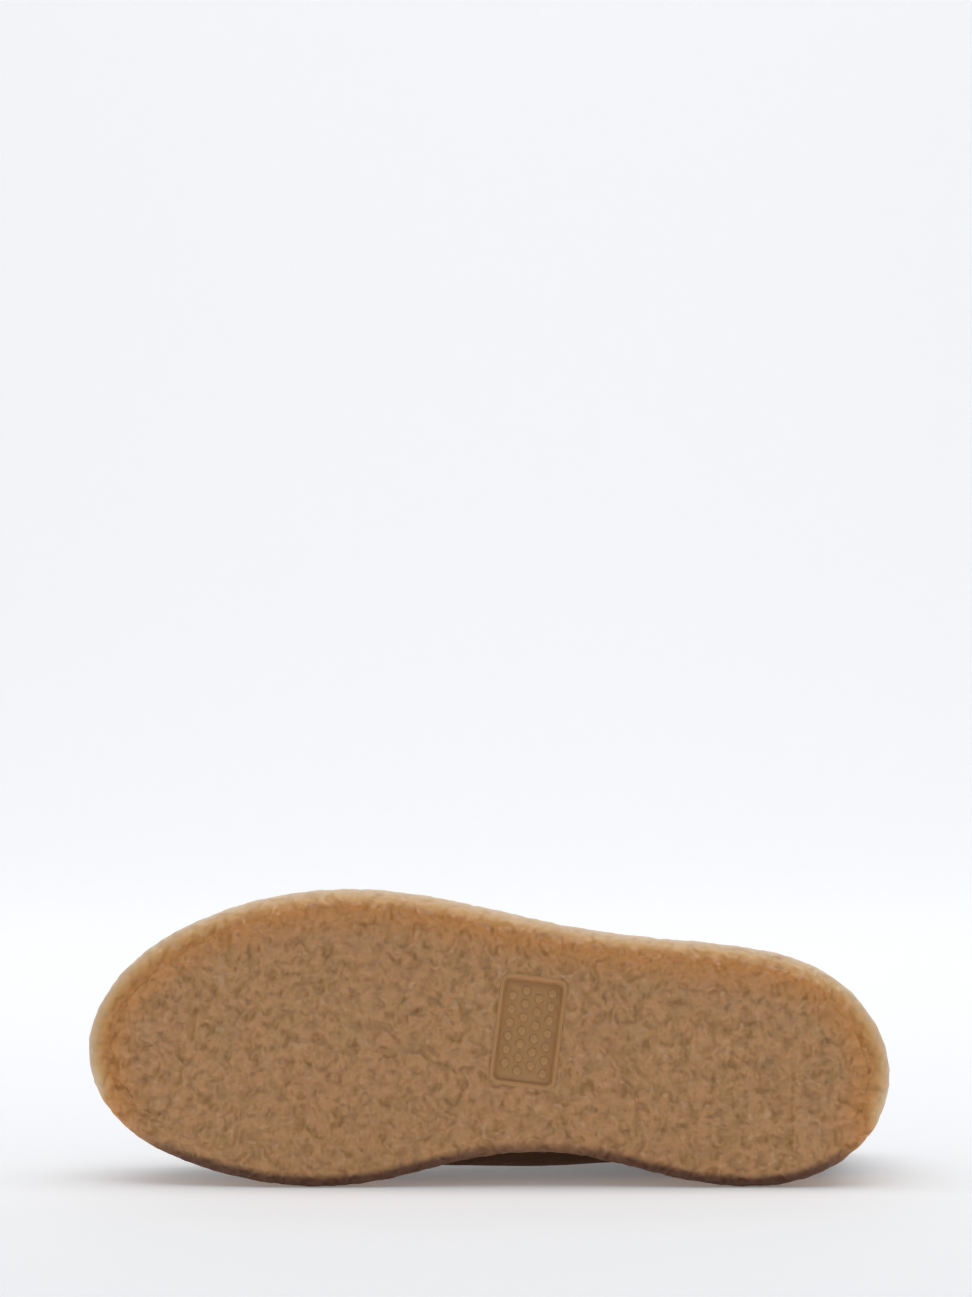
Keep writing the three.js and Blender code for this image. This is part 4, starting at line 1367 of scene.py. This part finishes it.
def layer_rings(spans):
    """Cross sections of a second layer over the upper, with rounded edges and sewn lines."""
    sh, u, t = shoe(), sizes("upper"), sizes("trim")
    top, under, rounding = u.overlay + LAYER_GAP, 0.00005, 0.0011

    def rise(d):
        return np.sqrt(np.clip(1 - (1 - np.minimum(1, d / rounding)) ** 2, 0, 1))

    rings = []
    for way, low, high, from_end, seams in spans:
        s = layer_lengths(low, high)
        lift = rise(high - s) * rise(np.full(s.shape, from_end))
        if seams[0]:
            lift = lift * rise(s - low)
        lift = 0.00025 + (top - 0.00025) * lift
        for seam, d in zip(seams, (s - low, high - s)):
            if seam and from_end > 0.001:
                lift = lift - 0.00038 * np.exp(-(((d - t.stitch_inset) / 0.0008) ** 2))
        outer = sh.skin(way, s, lift)
        rings.append(np.concatenate([outer, sh.skin(way, s[::-1], under)]))
    return np.array(rings)


def layer_spans(first, last, steps, edges, seams):
    """Rays over a second layer, close together at its ends, with its edges and sewn sides."""
    near = np.array((0, 0.1, 0.3, 0.6, 1.1)) / 330
    ways = np.linspace(first, last, steps)
    spans = []
    for way in np.r_[first + near, ways[3:-3], last - near[::-1]]:
        turn = way - 2 if way > 1 else way
        spans.append((turn, *edges(turn), min(way - first, last - way) * 0.33, seams))
    return spans


def facing_spans():
    sh = shoe()

    def edges(way):
        return sh.facing_low(way), sh.open_at(way) - sizes("upper").stay_edge

    return layer_spans(sh.facing_end(-1), sh.facing_end(1), 300, edges, (True, True))


def counter_spans():
    sh = shoe()

    def edges(way):
        return sh.rim_clear(way) + sizes("upper").clearance, sh.counter_high(way)

    return layer_spans(sh.counter_end(1), 2 + sh.counter_end(-1), 200, edges, (False, True))


class SNEAKER_OT_overlays(bpy.types.Operator):
    """The facing round the throat and the heel counter, second layers of suede"""

    bl_idname = "sneaker.overlays"
    bl_label = "Build facing and heel counter"

    def execute(self, context):
        for name, spans, target in (
            ("facing_suede", facing_spans(), "eyestay"),
            ("counter_suede", counter_spans(), "heel_counter"),
        ):
            p = layer_rings(spans)
            faces = tube_faces(*p.shape[:2])
            mesh = make_mesh(name, p.reshape(-1, 3), faces, [look("trim")])
            adopt(bored(mesh) if target == "eyestay" else mesh, "suede_trim", target)
        return {"FINISHED"}


class SNEAKER_OT_insole(bpy.types.Operator):
    """The footbed, a little cupped at the heel and rounded at its edge"""

    bl_idname = "sneaker.insole"
    bl_label = "Build insole"

    def execute(self, context):
        sh, u, s = shoe(), sizes("upper"), sizes("sole")
        n, crown = 260, 0.0012
        ways = loop_ways(n)
        edges, sides = [], []
        for way in ways:
            foot = sh.skin(way, 0.0, -u.wall)[0]
            rim = sh.skin(way, sh.rim_clear(way), -u.wall)[0]
            edges.append(foot + (rim - foot) * (u.insole_thick / s.rim_height))
            sides.append([float(v) for v in sh.edge(way)[2:4]] + [0.0])
        edges, sides = np.array(edges), np.array(sides)
        cx, cy = sh.spine(np.array(ways))
        rings = []

        def ring(inset, up, part=1.0):
            at = edges - sides * (u.clearance + inset)
            x, y = cx + (at[:, 0] - cx) * part, cy + (at[:, 1] - cy) * part
            bed = sh.platform(np.clip(y / sh.L, 0, 1)) + u.clearance
            cup = 0.0012 * (1 - part**3) * (1 - smooth((y / sh.L - 0.2) / 0.2))
            rings.append(np.stack([x, y, bed + up - (cup if up else 0.0)], -1))

        for part in (0.0, 0.4, 0.8):
            ring(0, 0.0, part)
        ring(0, 0.0)
        ring(0, u.insole_thick - crown)
        for a in np.linspace(0, math.pi / 2, 6)[1:]:
            inset, up = crown * (1 - math.cos(a)), u.insole_thick - crown * (1 - math.sin(a))
            ring(inset, up)
        for part in np.linspace(0.98, 0, 22):
            ring(crown, u.insole_thick, part)
        p = folded(np.array(rings))
        faces = grid_faces(len(p), n, closed_cols=True)
        mesh = make_mesh("footbed", p.reshape(-1, 3), faces, [look("lining")], weld=True)
        adopt(mesh, "lining", "insole")
        return {"FINISHED"}


def tongue_point(back, across, lift):
    """A point of the tongue: back 0 to 1 from under the vamp to the top, across -1 to 1."""
    sh, u = shoe(), sizes("upper")
    wide = u.tongue_half_front + (u.tongue_half_top - u.tongue_half_front) * smooth(back)
    curve = u.tongue_round / sh.L * across**4
    start = TONGUE_FRONT - curve
    along = start + (TONGUE_BACK + curve - start) * back
    return sh.spot(along, abs(across) * wide, -1 if across < 0 else 1, lift)[0]


class SNEAKER_OT_tongue(bpy.types.Operator):
    """The padded tongue under the throat, suede outside and lined inside"""

    bl_idname = "sneaker.tongue"
    bl_label = "Build tongue"

    def execute(self, context):
        u = sizes("upper")
        rows, cols = 84, 30
        top = -(u.wall + u.tongue_gap)
        middle = top - u.tongue_thick / 2
        across = np.sin(np.linspace(-1, 1, cols + 1) * math.pi / 2)
        rings = []
        for back in (1 - np.cos(np.linspace(0, math.pi, rows))) / 2:
            end = min(back, 1 - back) * 0.094 / (u.tongue_thick / 2)
            end_round = math.sqrt(max(0.03, 1 - (1 - min(1, end)) ** 2))
            ring = []
            for side in (1, -1):
                for a in across if side > 0 else across[::-1][1:-1]:
                    edge = (1 - abs(a)) * u.tongue_half_front / (u.tongue_thick / 2)
                    full = math.sqrt(max(0.0, 1 - (1 - min(1, edge)) ** 2)) * end_round
                    puff = 0.0009 * math.cos(a * 1.5) ** 2 * smooth(back * 2) if side > 0 else 0
                    lift = middle + side * u.tongue_thick / 2 * full + puff * full
                    ring.append(tongue_point(back, a, lift))
            rings.append(ring)
        p = np.array(rings)
        slots = [0 if j <= cols else 1 for _ in range(rows - 1) for j in range(p.shape[1])]
        faces = tube_faces(*p.shape[:2])
        slots += [0] * (len(faces) - len(slots))
        mesh = make_mesh(
            "tongue_padded", p.reshape(-1, 3), faces, [look("suede"), look("lining")], slots
        )
        adopt(mesh, "suede", "tongue")
        return {"FINISHED"}


class SNEAKER_OT_eyelets(bpy.types.Operator):
    """Six pairs of rolled metal eyelets"""

    bl_idname = "sneaker.eyelets"
    bl_label = "Build eyelets"

    def execute(self, context):
        sh, u, t = shoe(), sizes("upper"), sizes("trim")
        face = u.overlay + LAYER_GAP
        bore, flange = t.eyelet_bore, t.eyelet_flange
        middle, half = (bore + flange) / 2, (flange - bore) / 2
        roll = [
            (middle + half * math.cos(a), face + 0.0011 * math.sin(a) ** 0.8)
            for a in np.linspace(0, math.pi, 13)
        ]
        roll[-1] = (bore, face)
        profile = [(bore, -u.wall), (bore + 0.0004, -u.wall), (bore + 0.0004, face - 0.0001)]
        profile += [(flange - 0.0004, face - 0.0001)] + roll + [(bore, -u.wall)]
        names, spots, outs = [], [], []
        for side, called in ((1, "inner"), (-1, "outer")):
            for row in range(t.eyelet_rows):
                _, _, at, out = sh.eyelet_seat(side, row)
                names.append(f"eyelet_{called}_{row + 1}")
                spots.append(at)
                outs.append(out)
        mesh = repeated(
            "eyelets_rolled",
            repeat_group("eyelets_on_points", False),
            point_mesh(spots, outs),
            revolved("eyelet", profile, 32),
            0.0,
            look("metal"),
        )
        adopt(mesh, "eyelet_metal", *names)
        return {"FINISHED"}


def lace_side(flat, bunched, spread, turn, power):
    """Half a lace's width or thickness round its rings, bunched up inside the eyelets."""
    size = bunched + (spread - bunched) * flat
    return np.outer(size, np.copysign(np.abs(turn) ** power, turn)) / 2


class SNEAKER_OT_laces(bpy.types.Operator):
    """Six flat woven lace bars, each running down into its two eyelets"""

    bl_idname = "sneaker.laces"
    bl_label = "Build laces"

    def execute(self, context):
        sh, u, t = shoe(), sizes("upper"), sizes("trim")
        points, faces, run, across = [], [], [], []
        samples, ring = 84, 20
        angles = np.arange(ring) * 2 * math.pi / ring
        to_toe = np.array((0.0, 1.0, 0.0))
        face = u.overlay + LAYER_GAP
        # lift out of the upper and step towards the throat, through the eyelet and over its flange
        dive = ((-0.0032, 0.0002), (0.0006, 0.0003), (face + 0.0016, 0.0011), (face + 0.0023, 0.0032))
        for row in range(t.eyelet_rows):
            stops = []
            for side in (-1, 1):
                along, off, at, out = sh.eyelet_seat(side, row)
                half = float(sh.throat_half(along)) / off
                toward = sh.spot(along, off * 0.8, side)[0] - at
                toward /= np.linalg.norm(toward)
                part = [at + out * lift + toward * step for lift, step in dive]
                for place in (0.6, 0.45, 0.3, 0.15):
                    drop = smooth((half * 0.95 - place) / (half * 0.7))
                    lift = (face + 0.0019) * (1 - drop) - 0.0005 * drop
                    part.append(sh.spot(along, place * off, side, lift)[0])
                stops += part if side < 0 else [sh.spot(along, 0.0, 1, -0.0005)[0], *part[::-1]]
            stops = np.array(stops)
            knots = np.r_[0, np.cumsum(np.linalg.norm(np.diff(stops, axis=0), axis=1))]
            at = np.linspace(0, knots[-1], samples)
            path = np.stack([spline(list(knots), list(stops[:, k]))(at) for k in range(3)], -1)
            ahead = np.gradient(path, axis=0)
            ahead /= np.linalg.norm(ahead, axis=1, keepdims=True)
            wide = to_toe - ahead * (ahead @ to_toe)[:, None]
            wide /= np.linalg.norm(wide, axis=1, keepdims=True)
            thick = np.cross(ahead, wide)
            flat = smooth((np.minimum(at, at[-1] - at) - 0.0045) / 0.0065)
            x = lace_side(flat, 0.0031, t.lace_width, np.cos(angles), 0.7)
            y = lace_side(flat, 0.0021, t.lace_thick, np.sin(angles), 0.8)
            rings = path[:, None] + wide[:, None] * x[..., None] + thick[:, None] * y[..., None]
            faces += tube_faces(samples, ring, len(points))
            points += list(rings.reshape(-1, 3))
            run += list(np.repeat(at, ring) * 1000)
            across += list(x.ravel() * 1000)
        mesh = make_mesh(
            "laces_woven",
            points,
            faces,
            [look("lace")],
            attributes={"run": run, "across": across},
        )
        adopt(mesh, "lace_cotton", *[f"lace_bar_{k + 1}" for k in range(t.eyelet_rows)])
        return {"FINISHED"}


class SNEAKER_OT_stitches(bpy.types.Operator):
    """The sewn lines on the facing, the heel counter, the ankle roll and the tongue"""

    bl_idname = "sneaker.stitches"
    bl_label = "Build stitches"

    def execute(self, context):
        sh, u, t = shoe(), sizes("upper"), sizes("trim")
        inset, height = t.stitch_inset, u.overlay - 0.00022
        lines = []
        facing = facing_spans()[8:-8]
        wide = [span for span in facing if span[2] - span[1] > 2.6 * inset]
        lines.append([sh.skin(way, low + inset, height)[0] for way, low, high, *_ in wide])
        lines.append([sh.skin(way, high - inset, height)[0] for way, low, high, *_ in wide])
        counter = counter_spans()[8:-8]
        for extra in (0.0, 0.0026):
            tall = [span for span in counter if span[2] - span[1] > 2 * inset + extra]
            lines.append(
                [sh.skin(way, high - inset - extra, height)[0] for way, low, high, *_ in tall]
            )
        ends = (abs(sh.facing_end(1)) + 0.012, 2 - abs(sh.facing_end(-1)) - 0.012)
        collar = []
        for way in np.linspace(*ends, 260):
            turn = way - 2 if way > 1 else way
            collar.append(sh.skin(turn, sh.open_at(turn) - COLLAR_SEAM, -0.0005)[0])
        lines.append(collar)
        lift = -(u.wall + u.tongue_gap) + 0.0001
        side = 0.82
        path = [(back, -side) for back in np.linspace(0.45, 0.955, 50)]
        path += [(0.955, a) for a in np.linspace(-side, side, 40)[1:-1]]
        path += [(back, side) for back in np.linspace(0.955, 0.45, 50)]
        lines.append([tongue_point(back, a, lift) for back, a in path])
        r = t.stitch_radius
        bead = [(r * math.sin(a), -r * math.cos(a)) for a in np.linspace(0.25, math.pi - 0.25, 6)]
        mesh = repeated(
            "stitches",
            repeat_group("stitches_along_lines", True),
            line_mesh(lines),
            revolved("stitch", bead, 8, t.stitch_length / (2 * r)),
            t.stitch_pitch,
            look("thread"),
        )
        adopt(mesh, "suede_trim")
        return {"FINISHED"}


class SNEAKER_OT_stage(bpy.types.Operator):
    """The white sweep, the soft lights and the camera at the photograph's angle"""

    bl_idname = "sneaker.stage"
    bl_label = "Build stage"

    def execute(self, context):
        st = sizes("stage")
        scene = context.scene
        front, back, radius, height, half = -4.0, 1.6, 1.2, 4.0, 5.0
        line = [(front, 0.0), (back, 0.0)]
        line += [
            (back + radius * math.sin(a), radius * (1 - math.cos(a)))
            for a in np.linspace(0, math.pi / 2, 24)[1:]
        ]
        line.append((back + radius, height))
        points = [(x, y, z) for y, z in line for x in (-half, half)]
        mesh = plain_mesh("sweep", points, [], grid_faces(len(line), 2))
        mesh.shade_smooth()
        mesh.materials.append(look("floor"))
        put("sweep", mesh)

        world = bpy.data.worlds.new("white_room")
        world.use_nodes = True
        glow = world.node_tree.nodes["Background"].inputs
        glow["Color"].default_value = (0.97, 0.985, 1.0, 1.0)
        glow["Strength"].default_value = 0.34
        scene.world = world
        for name, at, size, power, target in (
            ("overhead_bank", (0.2, -0.08, 2.3), (3.4, 2.2), 24.5, (0.2, -0.08, 0)),
            ("backdrop_bank", (0.0, 0.5, 2.3), (4.0, 1.0), 27, (0, 2.4, 0.9)),
        ):
            data = bpy.data.lights.new(name, "AREA")
            data.shape, data.size, data.size_y, data.energy = "RECTANGLE", *size, power
            lamp = put(name, data)
            lamp.location = at
            aim = Vector(target) - Vector(at)
            lamp.rotation_euler = aim.to_track_quat("-Z", "Y").to_euler()

        data = bpy.data.cameras.new("camera")
        data.lens, data.sensor_width, data.sensor_fit = st.lens, 36.0, "VERTICAL"
        data.sensor_height = 36.0
        camera = put("camera", data)
        camera.location = (-0.0006, -st.camera_distance, st.camera_height)
        camera.rotation_euler = (math.pi / 2, 0, 0)
        scene.camera = camera
        scene.view_settings.view_transform = "Standard"
        return {"FINISHED"}


class SNEAKER_PT_panel(bpy.types.Panel):
    """The sneaker's sizes and colours, and a button for each piece"""

    bl_idname = "SNEAKER_PT_panel"
    bl_label = "Suede sneaker"
    bl_space_type = "VIEW_3D"
    bl_region_type = "UI"
    bl_category = "Sneaker"

    def draw(self, context):
        for name, group in GROUPS.items():
            box = self.layout.box()
            box.label(text=name.replace("_", " "))
            for key in group.__annotations__:
                box.prop(getattr(context.scene, name), key)
        for operator in OPERATORS:
            self.layout.operator(operator.bl_idname)


OPERATORS = [
    SNEAKER_OT_sole,
    SNEAKER_OT_patch,
    SNEAKER_OT_upper,
    SNEAKER_OT_overlays,
    SNEAKER_OT_insole,
    SNEAKER_OT_tongue,
    SNEAKER_OT_eyelets,
    SNEAKER_OT_laces,
    SNEAKER_OT_stitches,
    SNEAKER_OT_stage,
]


def register():
    for name, group in GROUPS.items():
        bpy.utils.register_class(group)
        setattr(bpy.types.Scene, name, bpy.props.PointerProperty(type=group))
    for operator in OPERATORS:
        bpy.utils.register_class(operator)
    bpy.utils.register_class(SNEAKER_PT_panel)


def unregister():
    bpy.utils.unregister_class(SNEAKER_PT_panel)
    for operator in reversed(OPERATORS):
        bpy.utils.unregister_class(operator)
    for name, group in reversed(GROUPS.items()):
        delattr(bpy.types.Scene, name)
        bpy.utils.unregister_class(group)


def main():
    register()
    for operator in OPERATORS:
        group, name = operator.bl_idname.split(".")
        if getattr(getattr(bpy.ops, group), name)() != {"FINISHED"}:
            raise RuntimeError(operator.bl_label + " failed")


if __name__ == "__main__":
    main()
